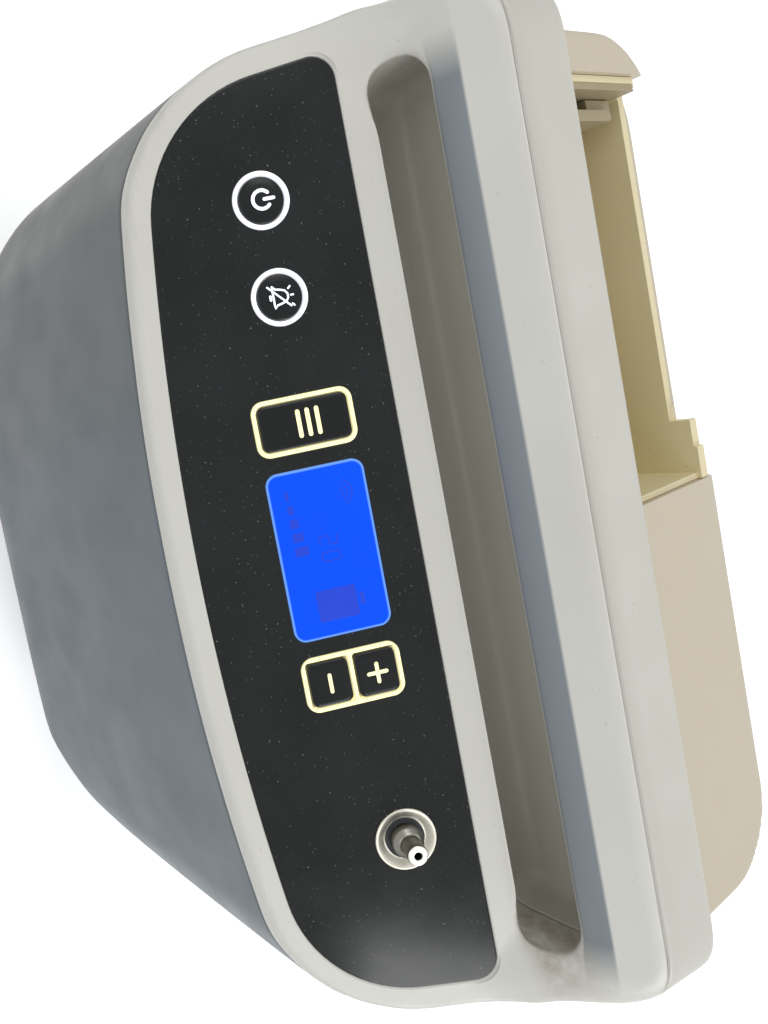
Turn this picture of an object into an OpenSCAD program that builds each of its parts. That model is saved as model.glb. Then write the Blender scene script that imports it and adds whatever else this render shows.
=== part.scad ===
// Portable oxygen concentrator: bow-fronted body with a tilted control panel,
// a finger pocket and handle rail behind it, and an open battery bay at the rear left.
// X runs to the right as seen from the front, Y to the back, Z up.
// The origin is at the bottom centre of the body.

/* [Body] */
// Overall width at the widest point, behind the panel
body_w = 292; // [288:1:300]
// Overall depth from the bowed front to the rear bulge
body_d = 154; // [151:0.5:156]
// Overall height from the feet to the top of the handle rail
body_h = 254; // [252:1:262]
// Thickness of the housing walls
wall = 2.6; // [2.2:0.1:3]
// Radius of the shallow bow of the front
bow_r = 820; // [760:20:1000]
// Radius of the front corners, seen from above
front_corner_r = 46; // [42:1:48]
// Distance from the body's side to the side of the rear bulge
bulge_inset = 18.5; // [16:0.5:20]
// Radius of the rear corners, seen from above
rear_corner_r = 26; // [22:1:28]
// Radius between the front and the underside
bottom_front_r = 56; // [50:1:66]
// Radius between the sides and the underside
bottom_side_r = 53; // [46:1:56]
// Radius between the back and the underside
bottom_rear_r = 24; // [20:1:28]
// Radius of the shoulders at the ends of the rail
shoulder_r = 26; // [22:1:30]
// Width of the visible seam between two shells
seam_gap = 0.3; // [0.2:0.05:0.4]

/* [Panel] */
// Tilt of the control panel from level
panel_tilt = 27; // [25:0.5:28]
// Distance from the front to the middle of the display
panel_back = 39.4; // [38:0.2:41]
// Distance from the top of the rail down to the middle of the display
panel_drop = 52.5; // [52:0.5:55]
// Width of the cream ring in front of the black panel
ring_band = 7.1; // [6.5:0.1:8]
// Distance from the body's side to the end of the black panel
fascia_inset = 11.8; // [11:0.1:14]
// Distance from the display's middle up to the black panel's straight edge
fascia_up = 26.3; // [25:0.1:27]
// Thickness of the black panel
fascia_t = 1.6; // [1.4:0.1:1.8]
// Height of the cream edge that shows under the ring
ring_edge = 3.2; // [2.8:0.1:4]

/* [Keys] */
// Outer diameter of the round light rings
light_ring_d = 15.8; // [15:0.1:17]
// Width of the glowing line of every key
light_line = 1.35; // [1.2:0.05:1.6]
// Distance from the end of the black panel to the power key
power_inset = 35.4; // [33:0.2:37]
// Distance between the power key and the alarm key
round_pitch = 26.7; // [24:0.1:28]
// Gap between the display and the framed keys beside it
frame_gap = 4.75; // [4:0.05:6]
// Width of a framed key
frame_w = 15.9; // [15:0.1:17]
// Length of a framed key, up the panel
frame_l = 28.8; // [27:0.1:30]
// Corner radius of a framed key
frame_r = 3.6; // [3:0.1:4.5]
// Height of the keys over the panel
key_rise = 0.8; // [0.7:0.05:1]
// Travel of the keys
key_travel = 0.6; // [0.4:0.05:0.7]
// Gap round a key
key_gap = 0.35; // [0.3:0.05:0.45]
// Width of the display
lcd_w = 48.4; // [46:0.2:49]
// Height of the display
lcd_h = 28.3; // [27:0.1:30]

/* [Outlet] */
// Distance from the end of the black panel to the outlet
outlet_inset = 47.2; // [45:0.1:49]
// Distance of the outlet up the panel from the display's middle
outlet_up = 6.1; // [4:0.1:8]
// Diameter of the dished metal plate
cup_d = 18.1; // [17:0.1:19]
// Diameter of the outlet's collar
collar_d = 9.2; // [8.8:0.1:10]
// Diameter of the outlet's tip
barb_d = 6; // [5.6:0.1:6.4]
// Height of the outlet's tip over the panel
barb_h = 9.7; // [9:0.1:12]
// Bore of the outlet
barb_bore = 2.2; // [1.8:0.1:2.6]
// Diameter of the outlet's threaded shank
shank_d = 8; // [7.4:0.1:8]

/* [Handle] */
// Distance from the front to the rail's front face
rail_front = 79.1; // [78:0.1:80]
// Distance from the front to the seam along the rail
seam_back = 88.4; // [87.6:0.1:90]
// Distance from the front to the step behind the rail
rail_back = 108.2; // [107:0.1:109]
// Height of the rail over the rear bulge
rail_step = 5; // [4:0.1:6]
// Distance from the rail's top down to its front edge
rail_edge_drop = 14.1; // [13:0.1:15]
// Height of the rail's upright front face
rail_face = 6.6; // [6:0.1:8]
// Distance from the body's side to the end of the finger pocket
pocket_inset = 14; // [14:0.5:18]
// Depth of the finger pocket under its front lip
pocket_deep = 20; // [16:0.5:24]
// Distance from the front to the pocket's front lip
lip_back = 69; // [68.5:0.1:69.5]

/* [Battery bay] */
// Length of the cap between the bulge's side and the bay
bay_cap = 12.1; // [11.5:0.1:14]
// Distance from the bay's right end to the middle of the power inlet
bay_to_inlet = 21.6; // [20.2:0.2:23]
// Thickness of the liner
liner_t = 1.8; // [1.6:0.1:2.2]
// Distance from the rail's top down to the bay's rear edge
bay_drop = 12.2; // [11:0.1:14]
// Height of the liner's floor over the ground
bay_floor = 34; // [32:1:50]
// Length of the battery guide down the bay
guide_l = 42; // [36:1:50]
// Travel of the battery latch
latch_travel = 3; // [2:0.1:4]

/* [Base] */
// Height of the rubber feet
foot_h = 6; // [5.5:0.5:7]
// Diameter of the rubber feet
foot_d = 16; // [14:0.5:18]
// Distance from the body's side to the feet
foot_inset = 80; // [79:1:86]
// Height of the seam between the base and the covers
pan_h = 7; // [6:0.5:8]
// Nominal diameter of the cart's thumb screw
cart_thread_d = 6; // [5:1:6]

/* [Air path] */
// Width of the intake grille
intake_w = 58; // [50:1:58]
// Height of the intake grille
intake_h = 76; // [70:1:84]
// Side of the square fan
fan_side = 60; // [56:1:60]
// Thickness of the fan
fan_t = 20; // [18:0.5:22]
// Number of fan blades
fan_blades = 7; // [5:1:9]

/* [Power inlet] */
// Bore of the direct current inlet
dc_bore = 6.5; // [5.5:0.1:7]
// Distance between the inlet and the fan's middle
dc_pitch = 45; // [44:0.5:47]
// Height of the inlet over the ground
dc_z = 46; // [44:0.5:50]

/* [Inside] */
// Diameter of the compressor motor
motor_d = 58; // [52:1:60]
// Height of the product tank
tank_h = 120; // [100:1:130]
// Thickness of the circuit boards
board_t = 1.6; // [1.4:0.1:1.8]

/* [Hidden] */

$fn = 48;
// Turn of one step of a rounded outline
step_a = 7.5;
// Reach of a cutting block, past any part of the body
far = 400;

bulge_w = body_w - 2 * bulge_inset;
fascia_w = body_w - 2 * fascia_inset;
pocket_w = body_w - 2 * pocket_inset;
bay_left = bulge_w / 2 - bay_cap;
y_front = -body_d / 2;
y_rear = body_d / 2;
seam_y = y_front + seam_back;
rail_y = y_front + rail_front;
rail_rear_y = y_front + rail_back;
lip_y = y_front + lip_back;
panel_y = y_front + panel_back;
panel_z = body_h - panel_drop;
bulge_z = body_h - rail_step;
edge_z = body_h - rail_edge_drop;
ceiling_z = edge_z - rail_face;
pan_z = foot_h + pan_h;
motor_y = y_front + 65;
fan_x = bulge_w / 2 - 56.5;
dc_x = fan_x - dc_pitch;
bay_right = dc_x - bay_to_inlet;

// Height of the panel's plane over a place along Y
function panel_at(y) = panel_z + (y - panel_y) * tan(panel_tilt);

// Vector helpers
function unit(v) = v / norm(v);
function left_of(v) = [-v[1], v[0]];
function turn_of(a, b) = atan2(a[0] * b[1] - a[1] * b[0], a * b);
function arc(c, r, a0, a1) =
    let (n = max(1, ceil(abs(a1 - a0) / step_a)))
    [for (i = [0:n]) c + r * [cos(a0 + (a1 - a0) * i / n), sin(a0 + (a1 - a0) * i / n)]];

// Direction of the line that touches two circles, one after the other
function touch_a(c1, r1, c2, r2) =
    atan2(c2[1] - c1[1], c2[0] - c1[0]) - acos((r1 - r2) / norm(c2 - c1));

// One corner of an outline that runs anticlockwise, moved in by t and rounded
function moved_in(a, b, c, t) =
    let (n1 = left_of(unit(b - a)), n2 = left_of(unit(c - b)))
    b + t * (n1 + n2) / (1 + n1 * n2);
function fillet(a, b, c, r) =
    let (d1 = unit(b - a), d2 = unit(c - b), turn = turn_of(d1, d2))
    let (side = sign(turn), start = b - d1 * r * tan(abs(turn) / 2))
    let (centre = start + side * r * left_of(d1), from = atan2((start - centre)[1], (start - centre)[0]))
    r < 0.05 || abs(turn) < 0.5 ? [b] : arc(centre, r, from, from + turn);
function rounded(points, radii, t = 0) =
    let (n = len(points))
    let (moved = [for (i = [0:n - 1]) moved_in(points[(i + n - 1) % n], points[i], points[(i + 1) % n], t)])
    [for (i = [0:n - 1])
        let (a = moved[(i + n - 1) % n], b = moved[i], c = moved[(i + 1) % n])
        let (convex = turn_of(b - a, c - b) > 0)
        each fillet(a, b, c, max(0, radii[i] + (convex ? -t : t)))];
function box_outline(w, h) = [[-w / 2, -h / 2], [w / 2, -h / 2], [w / 2, h / 2], [-w / 2, h / 2]];
function same(value, n) = [for (i = [1:n]) value];
function rounded_box(w, h, r) = rounded(box_outline(w, h), same(r, 4));
function mirrored(half) = [for (i = [len(half) - 1:-1:0]) [-half[i][0], half[i][1]]];

// Outline of the main body from above, moved in by t: bowed front, front corners, flared sides, ends behind
main_corner_r = 7;
side_r = 28;
side_back = 87.2;
corner_x = body_w / 2 - 5.5 - front_corner_r;
bow_c = [0, y_front + bow_r];
corner_c = [corner_x, bow_c[1] - sqrt(pow(bow_r - front_corner_r, 2) - pow(corner_x, 2))];
side_c = [body_w / 2 - side_r, y_front + side_back];
rear_c = [body_w / 2 - 3.5 - main_corner_r, rail_rear_y - main_corner_r];
bow_a = atan2(corner_c[1] - bow_c[1], corner_c[0] - bow_c[0]);
flare_a = touch_a(corner_c, front_corner_r, side_c, side_r);
rear_a = touch_a(side_c, side_r, rear_c, main_corner_r);
bow_steps = 8;
function bow(c, r, a) = [for (i = [0:bow_steps - 1])
    let (now = -90 + (a + 90) * i / bow_steps)
    c + r * [cos(now), sin(now)]];
function half_plan(t) = concat(
    bow(bow_c, bow_r - t, bow_a),
    arc(corner_c, front_corner_r - t, bow_a, flare_a),
    arc(side_c, side_r - t, flare_a, rear_a),
    arc(rear_c, main_corner_r - t, rear_a, 90));
function closed(half) = concat(half, [for (p = mirrored(half)) if (p[0] < -0.001) p]);
function plan(t) = closed(half_plan(t));

// Outline of the main body from the side, moved in by t
crown_drop = 2.9;
side_points = [
    [y_front, foot_h], [rail_rear_y, foot_h], [rail_rear_y, body_h], [seam_y, body_h - crown_drop],
    [rail_y, edge_z], [lip_y + 1, panel_at(lip_y + 1)], [y_front, panel_at(y_front)]];
side_radii = [bottom_front_r, 10, 3.4, 14, 4, 7, 1.6];
function side_view(t) = rounded(side_points, side_radii, t);

// A block's outline between two heights, seen from the front or the side, moved in by t
function band(a, b, z0, z1, low_r, high_r, t) = rounded(
    [[a, z0], [b, z0], [b, z1], [a, z1]], concat(low_r, high_r), t);

module extrude_x(length) {
    rotate([90, 0, 90]) linear_extrude(height = length, center = true) children();
}
module extrude_y(length) {
    rotate([90, 0, 0]) linear_extrude(height = length, center = true) children();
}
// Places children in the panel's frame: x to the right, y up the slope, z out of the panel
module on_panel() {
    translate([0, panel_y, panel_z]) rotate([panel_tilt, 0, 0]) children();
}
module above_panel(depth) {
    on_panel() translate([-far / 2, -far / 2, -depth]) cube(far);
}
module below_panel(depth) {
    on_panel() translate([-far / 2, -far / 2, -depth - far]) cube(far);
}
module before(y) {
    translate([-far / 2, y - far, -far / 4]) cube([far, far, 2 * far]);
}
module behind(y) {
    translate([-far / 2, y, -far / 4]) cube([far, far, 2 * far]);
}
module block(x0, x1, y0, y1, z0, z1) {
    translate([x0, y0, z0]) cube([x1 - x0, y1 - y0, z1 - z0]);
}

// Rounded ends of the rail: a prism that runs down and forward along a slope of the rail's top
front_shoulder_r = 18;
module shoulder(y, z, slope, r, t) {
    translate([0, y, z]) rotate([slope, 0, 0]) extrude_y(2 * far)
        polygon(band(-body_w / 2, body_w / 2, -far, 0, [0, 0], [r, r], t));
}
module shoulders(t) {
    shoulder(rail_rear_y, body_h, atan(crown_drop / (rail_rear_y - seam_y)), shoulder_r, t);
}
module front_shoulders(t) {
    before(lip_y);
    shoulder(rail_y, edge_z, atan((body_h - crown_drop - edge_z) / (seam_y - rail_y)), front_shoulder_r, t);
}

// Front corners: prisms along two diagonals of each corner, drawn in and rounded towards the ground
corner_turns = [32, 58];
corner_drafts = [3, 6];
corner_low_radii = [78, 66];
corner_top = 200;
function corner_reach(a) = corner_c * [cos(a), -sin(a)] + front_corner_r;
module corner_prisms(t) {
    intersection_for(side = [0, 1], i = [0, 1]) {
        reach = corner_reach(corner_turns[i]);
        mirror([side, 0, 0]) rotate([0, 0, -corner_turns[i]]) extrude_y(2 * far) polygon(rounded(
            [[-far, foot_h], [reach - corner_drafts[i], foot_h], [reach, corner_top], [reach, far], [-far, far]],
            [0, corner_low_radii[i], 0, 0, 0], t));
    }
}

// The body's outer form, moved in by t: the main body with the rail, and the bulge behind it
module main_form(t) {
    intersection() {
        linear_extrude(height = far) polygon(plan(t));
        extrude_x(far) polygon(side_view(t));
        extrude_y(far) polygon(band(-body_w / 2, body_w / 2, foot_h, far, same(bottom_side_r, 2), [0, 0], t));
        shoulders(t);
        front_shoulders(t);
        corner_prisms(t);
    }
}
bulge_y = seam_y + 5;
bulge_edge_r = 4;
bulge_side_r = bottom_side_r - 17;
function bulge_plan(t) = band(-bulge_w / 2, bulge_w / 2, bulge_y, y_rear, [0, 0], same(rear_corner_r, 2), t);
module bulge_form(t) {
    half = bulge_w / 2;
    intersection() {
        linear_extrude(height = far) polygon(bulge_plan(t));
        extrude_x(far) polygon(band(bulge_y, y_rear, foot_h, bulge_z,
            [0, bottom_rear_r], [bulge_edge_r, 0], t));
        extrude_y(far) polygon(band(-half, half, foot_h, bulge_z, same(bulge_side_r, 2), same(bulge_edge_r, 2), t));
    }
}
module envelope(t) {
    main_form(t);
    bulge_form(t);
}
module shell() {
    difference() {
        envelope(0);
        envelope(wall);
    }
}

// The finger pocket: a trough behind the lip that runs under the rail
pocket_back = rail_rear_y - 3.6;
pocket_z = panel_at(lip_y) - pocket_deep;
pocket_points = [
    [lip_y, panel_at(lip_y)], [lip_y + 13, pocket_z + 5], [lip_y + 26, pocket_z], [pocket_back, pocket_z + 4],
    [pocket_back, ceiling_z - 4], [pocket_back - 5, ceiling_z], [rail_y, ceiling_z],
    [rail_y, body_h + 20], [lip_y, body_h + 20]];
pocket_radii = [2.5, 14, 10, 5, 4, 4, 0, 0, 0];
pocket_end_radii = [12, 12, 8, 8];
rim_r = 14;
rim_side = 2;
module pocket(t) {
    depth = pocket_back - lip_y;
    intersection() {
        extrude_x(pocket_w - 2 * t) polygon(rounded(pocket_points, pocket_radii, t));
        translate([0, lip_y + depth / 2, 0]) linear_extrude(height = body_h + 30)
            polygon(rounded(box_outline(pocket_w, depth), pocket_end_radii, t));
        union() {
            extrude_y(2 * far)
                polygon(band(-pocket_w / 2, pocket_w / 2, 0, ceiling_z, [0, 0], same(rim_r, 2), t));
            linear_extrude(height = 2 * far) polygon(band(rim_side - pocket_w / 2, pocket_w / 2 - rim_side,
                -far, rail_y, [0, 0], same(rim_r - rim_side, 2), t));
        }
    }
}
module pocket_walls() {
    intersection() {
        envelope(0);
        difference() {
            pocket(-wall);
            pocket(0);
        }
    }
}

// Outline of the black panel in the panel's frame, moved in by t
fascia_bow_r = bow_r * 0.95;
fascia_corner_r = 40;
fascia_top_r = 6.2;
fascia_front = (panel_back / cos(panel_tilt)) - ring_band;
fascia_corner_x = fascia_w / 2 - 1.9 - fascia_corner_r;
fascia_bow_c = [0, fascia_bow_r - fascia_front];
fascia_corner_c = [fascia_corner_x,
    fascia_bow_c[1] - sqrt(pow(fascia_bow_r - fascia_corner_r, 2) - pow(fascia_corner_x, 2))];
fascia_top_c = [fascia_w / 2 - fascia_top_r, fascia_up - fascia_top_r];
fascia_bow_a = atan2(fascia_corner_c[1] - fascia_bow_c[1], fascia_corner_c[0]);
fascia_side_a = touch_a(fascia_corner_c, fascia_corner_r, fascia_top_c, fascia_top_r);
function fascia_half(t) = concat(
    bow(fascia_bow_c, fascia_bow_r - t, fascia_bow_a),
    arc(fascia_corner_c, fascia_corner_r - t, fascia_bow_a, fascia_side_a),
    arc(fascia_top_c, fascia_top_r - t, fascia_side_a, 90));
function fascia_outline(t) = closed(fascia_half(t));

// Depths under the panel's face
fascia_sink = 0.15;
ledge_z = -fascia_sink - fascia_t;
ledge_t = 2.2;
board_z = ledge_z - 8.6;
dome_h = 3.2;
key_depth = board_z + dome_h;
fit_gap = 0.1;
light_rise = 0.2;
power_x = fascia_w / 2 - power_inset;
frame_x = (lcd_w + frame_w) / 2 + frame_gap;
outlet_x = fascia_w / 2 - outlet_inset;
power_at = [-power_x, -0.2];
alarm_at = [round_pitch - power_x, -0.2];
mode_at = [-frame_x, 0];
level_at = [frame_x, 0];
outlet_at = [outlet_x, outlet_up];
key_half_l = (frame_l - 3 * light_line) / 2;
level_offset = (key_half_l + light_line) / 2;
board_left = power_x + light_ring_d / 2 + 6;
board_right = outlet_x - 19.1;
board_l = 44;
board_shift = -1;

module panel_hole(at, r, z0, z1) {
    translate([at[0], at[1], z0]) cylinder(r = r, h = z1 - z0);
}
module panel_slab(at, outline, z0, z1) {
    translate([at[0], at[1], z0]) linear_extrude(height = z1 - z0) polygon(outline);
}

// Openings of the fascia and of the ledge under it, grown by a gap
module panel_openings(gap, z0, z1) {
    for (at = [power_at, alarm_at]) panel_hole(at, light_ring_d / 2 + gap, z0, z1);
    for (at = [mode_at, level_at])
        panel_slab(at, rounded_box(frame_w + 2 * gap, frame_l + 2 * gap, frame_r + gap), z0, z1);
    panel_slab([0, 0], rounded_box(lcd_w + 2 * gap, lcd_h + 2 * gap, 2 + gap), z0, z1);
}

// Housing shells
boss_r = 4.5;
boss_x = body_w / 2 - 10;
boss_low_z = foot_h + 36;
boss_high_z = pocket_z - 10.6;
screw_r = 1.5;
skirt_t = 1.6;
skirt_deep = 8;

module cover_bosses(y0, y1) {
    for (side = [-1, 1], z = [boss_low_z, boss_high_z]) {
        translate([side * boss_x, y0, z]) rotate([-90, 0, 0]) cylinder(r = boss_r, h = y1 - y0);
        translate([side * (boss_x + boss_r), (y0 + y1) / 2, z]) cube([2 * boss_r, y1 - y0, 2], center = true);
    }
}
module cover_screw_holes(y0, y1, r) {
    for (side = [-1, 1], z = [boss_low_z, boss_high_z])
        translate([side * boss_x, y0, z]) rotate([-90, 0, 0]) cylinder(r = r, h = y1 - y0);
}

module front_cover() {
    boss_l = 14;
    color("#76838a") difference() {
        union() {
            intersection() {
                shell();
                below_panel(ring_edge + seam_gap);
                before(seam_y - seam_gap / 2);
                block(-far, far, -far, far, pan_z + seam_gap, far);
            }
            intersection() {
                envelope(wall / 2);
                cover_bosses(seam_y - seam_gap / 2 - boss_l, seam_y - seam_gap / 2);
            }
        }
        cover_screw_holes(seam_y - boss_l + 2, seam_y, screw_r);
    }
}

module top_frame() {
    color("#d3d1c8") difference() {
        union() {
            difference() {
                union() {
                    intersection() {
                        shell();
                        above_panel(ring_edge);
                        before(seam_y - seam_gap / 2);
                    }
                    intersection() {
                        pocket_walls();
                        before(seam_y - seam_gap / 2);
                    }
                }
                pocket(0);
            }
            on_panel() panel_slab([0, 0], fascia_outline(-2), ledge_z - ledge_t, ledge_z);
            skirt();
            board_posts();
        }
        on_panel() {
            panel_slab([0, 0], fascia_outline(-fit_gap), ledge_z, 10);
            panel_openings(0.6, ledge_z - ledge_t - 1, 1);
            panel_hole(outlet_at, shank_d / 2 + 0.2, ledge_z - ledge_t - 1, 1);
            for (at = post_places) panel_hole(at, 1, board_z - 1, ledge_z - 1);
        }
    }
}
// Lip of the top frame that reaches down inside the front cover
module skirt() {
    gap = wall + 0.3;
    intersection() {
        difference() {
            linear_extrude(height = body_h) polygon(plan(gap));
            translate([0, 0, -1]) linear_extrude(height = body_h + 2) polygon(plan(gap + skirt_t));
        }
        corner_prisms(gap);
        above_panel(ring_edge + skirt_deep);
        below_panel(wall - 0.6);
        before(lip_y);
    }
}
post_in = 5;
post_places = [[post_in - board_left, 16], [post_in - board_left, -14], [14, -19],
    [board_right - post_in, -18], [board_right - post_in, 16]];
module board_posts() {
    on_panel() for (at = post_places)
        panel_hole(at, 3, board_z, ledge_z - ledge_t / 2);
}

bay_front_y = rail_rear_y + 2.8;
bay_rear_y = y_rear - wall - 2.3;
bay_edge_z = body_h - bay_drop;
liner_gap = 0.2;
module rear_shell() {
    color("#cfc8ba") difference() {
        union() {
            difference() {
                intersection() {
                    union() {
                        shell();
                        pocket_walls();
                    }
                    behind(seam_y + seam_gap / 2);
                    block(-far, far, -far, far, pan_z + seam_gap, far);
                }
                pocket(0);
            }
            intersection() {
                envelope(wall / 2);
                union() {
                    cover_bosses(seam_y + seam_gap / 2, rail_rear_y);
                    rail_ribs();
                }
            }
            dc_recess(0);
            intake_frame();
        }
        bay_opening();
        dc_recess(wall);
        intake_opening();
        exhaust_opening();
        cover_screw_holes(seam_y, rail_rear_y + 1, screw_r + 0.2);
        cover_screw_holes(rail_rear_y - 6, rail_rear_y + 1, screw_r + 1.6);
        dc_hinge_holes();
    }
}
// Ribs inside the rail, between the pocket's ceiling and the rail's top
module rail_ribs() {
    for (x = [-2:2]) block(x * pocket_w / 5 - 1, x * pocket_w / 5 + 1,
        seam_y + seam_gap / 2, rail_rear_y - 1, ceiling_z + 1, body_h);
}
// Opening of the shell at the top and upper back, where the liner shows
module bay_opening() {
    block(-bay_left - liner_gap, bay_right + liner_gap, bay_front_y - liner_gap, bay_rear_y + 0.3, body_h / 2, far);
    block(-bay_left - liner_gap, bay_right + liner_gap, bay_rear_y - 1, y_rear + 10, bay_edge_z - 1.2, far);
}

module base_pan() {
    color("#5d6469") difference() {
        union() {
            intersection() {
                shell();
                block(-far, far, -far, far, 0, pan_z);
            }
            for (at = base_posts) translate([at[0], at[1], foot_h + 1]) cylinder(r = 5, h = chassis_z - foot_h - 1);
            translate([cart_at[0], cart_at[1], foot_h + 1]) cylinder(r = insert_r + 2.6, h = insert_h + 0.5);
            base_lip();
        }
        for (at = base_posts) {
            translate([at[0], at[1], foot_h - 1]) cylinder(r = screw_r + 0.2, h = chassis_z - foot_h + 2);
            translate([at[0], at[1], foot_h - 1]) cylinder(r = head_r + 0.3, h = head_h + 1.4);
        }
        translate([cart_at[0], cart_at[1], foot_h - 1]) cylinder(r = insert_r, h = insert_h + 1);
        for (side = [-1, 1], i = [0:2]) translate([side * (vent_x + i * vent_pitch), motor_y + 1, foot_h])
            cube([vent_w, vent_l, 3 * wall], center = true);
        for (at = foot_places) translate([at[0], at[1], foot_h - 1]) cylinder(r = foot_peg_r, h = wall + 2);
    }
}
// Lip of the base that stands up inside the covers
module base_lip() {
    gap = wall + 0.3;
    intersection() {
        difference() {
            envelope(gap - 1);
            envelope(gap + 1.4);
        }
        block(-far, far, -far, far, foot_h + gap + 1.5, pan_z - 1);
    }
    intersection() {
        difference() {
            envelope(gap);
            envelope(gap + 1.4);
        }
        block(-far, far, -far, far, pan_z - 1.5, pan_z + 3);
    }
}

post_x = body_w / 2 - 102;
foot_x = body_w / 2 - foot_inset;
base_posts = [for (x = [-post_x, post_x], y = [motor_y + 8, motor_y + 34]) [x, y]];
foot_places = [for (x = [-foot_x, foot_x], y = [motor_y + 10, y_rear - 33]) [x, y]];
vent_x = 18;
vent_pitch = 9;
vent_w = 4;
vent_l = 26;
foot_peg_r = 2.5;
foot_peg_h = 4.6;
cart_at = [0, motor_y + 24];
insert_r = 4.5;
insert_h = 12;
head_r = 3;
head_h = 2;
chassis_z = foot_h + 14;
chassis_t = 3;

module feet() {
    color("#3a3b3c") for (at = foot_places) translate([at[0], at[1], 0]) {
        rotate_extrude() polygon([[0, 0], [foot_d / 2 - 1.2, 0], [foot_d / 2, 1.2], [foot_d / 2 - 0.6, foot_h],
            [foot_peg_r, foot_h], [foot_peg_r, foot_h + foot_peg_h], [0, foot_h + foot_peg_h]]);
    }
}

module cart_insert() {
    color("#b8923f") translate([cart_at[0], cart_at[1], foot_h]) difference() {
        cylinder(r = insert_r, h = insert_h);
        translate([0, 0, -1]) cylinder(r = cart_thread_d / 2 - 0.5, h = insert_h - 1);
    }
}

module base_screws() {
    color("#8e9296") for (at = base_posts) translate([at[0], at[1], foot_h + 0.4]) {
        cylinder(r = head_r, h = head_h);
        cylinder(r = screw_r, h = chassis_z + chassis_t - foot_h - 0.4);
    }
}

// Control panel
module control_fascia() {
    color("#1b1c1d") on_panel() difference() {
        panel_slab([0, 0], fascia_outline(0), ledge_z, -fascia_sink);
        panel_openings(fit_gap, ledge_z - 1, 1);
        panel_hole(outlet_at, cup_d / 2 + fit_gap, ledge_z - 1, 1);
    }
}
module lcd_window() {
    color("#0f63f0") on_panel()
        panel_slab([0, 0], rounded_box(lcd_w, lcd_h, 2), ledge_z, -fascia_sink);
}
module lcd_module() {
    color("#c9ccd0") on_panel()
        panel_slab([0, 0], rounded_box(lcd_w + 0.4, lcd_h + 0.4, 2), board_z, ledge_z);
}
module display_board() {
    color("#2f6b46") on_panel() difference() {
        panel_slab([(board_right - board_left) / 2, board_shift], rounded_box(board_left + board_right, board_l, 2),
            board_z - board_t, board_z);
        for (at = post_places) panel_hole(at, 1.2, board_z - board_t - 1, board_z + 1);
    }
}
module board_screws() {
    color("#8e9296") on_panel() for (at = post_places) {
        panel_hole(at, 2, board_z - board_t - 1.4, board_z - board_t);
        panel_hole(at, 0.9, board_z - board_t - 1, board_z + 5);
    }
}
module buzzer() {
    color("#222426") on_panel() panel_hole([power_at[0] + round_pitch / 2, -14], 4.5, board_z, board_z + 4);
}

module round_key(at) {
    r = light_ring_d / 2 - light_line - key_gap;
    on_panel() translate([at[0], at[1], 0]) rotate_extrude() polygon(concat(
        [[0, key_depth], [2.6, key_depth], [2.6, key_depth + 2], [r, key_depth + 3], [r, key_rise - 0.9]],
        [for (i = [1:4]) [r - 0.9 * (1 - cos(22.5 * i)), key_rise - 0.9 + 0.7 * sin(22.5 * i)]],
        [[r - 2, key_rise - 0.2], [r - 2.4, key_rise], [0, key_rise]]));
}
module light_ring(at) {
    color("#f4f4ee") on_panel() difference() {
        panel_hole(at, light_ring_d / 2, board_z, light_rise);
        panel_hole(at, light_ring_d / 2 - light_line, board_z - 1, light_rise + 1);
    }
}
module slab_key(at, w, l, r) {
    color("#161718") on_panel() {
        panel_slab(at, rounded_box(w, l, r), key_depth + 3, key_rise - 0.5);
        panel_slab(at, rounded_box(w - 1.2, l - 1.2, r - 0.6), key_rise - 0.6, key_rise);
        panel_hole(at, 2.6, key_depth, key_depth + 3.2);
    }
}
module light_frame(at, bar) {
    inner_w = frame_w - 2 * light_line;
    inner_l = frame_l - 2 * light_line;
    color("#f3eab4") on_panel() {
        difference() {
            panel_slab(at, rounded_box(frame_w, frame_l, frame_r), board_z, light_rise);
            panel_slab(at, rounded_box(inner_w, inner_l, frame_r - light_line), board_z - 1, light_rise + 1);
        }
        if (bar) panel_slab(at, box_outline(inner_w + 1, light_line), board_z, light_rise);
    }
}
key_r = frame_r - light_line - key_gap;
module power_button() { color("#161718") round_key(power_at); }
module alarm_button() { color("#161718") round_key(alarm_at); }
module mode_button() {
    slab_key(mode_at, frame_w - 2 * (light_line + key_gap), frame_l - 2 * (light_line + key_gap), key_r);
}
module level_key(side) {
    slab_key(level_at + [0, side * level_offset], frame_w - 2 * (light_line + key_gap),
        key_half_l - 2 * key_gap, key_r);
}
module plus_button() { level_key(1); }
module minus_button() { level_key(-1); }
module power_light_ring() { light_ring(power_at); }
module alarm_light_ring() { light_ring(alarm_at); }
module mode_light_frame() { light_frame(mode_at, false); }
module level_light_frame() { light_frame(level_at, true); }
module key_domes() {
    places = [power_at, alarm_at, mode_at, level_at + [0, level_offset], level_at - [0, level_offset]];
    color("#d9dadb") on_panel() for (at = places) panel_hole(at, 3.4, board_z, key_depth);
}

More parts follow.
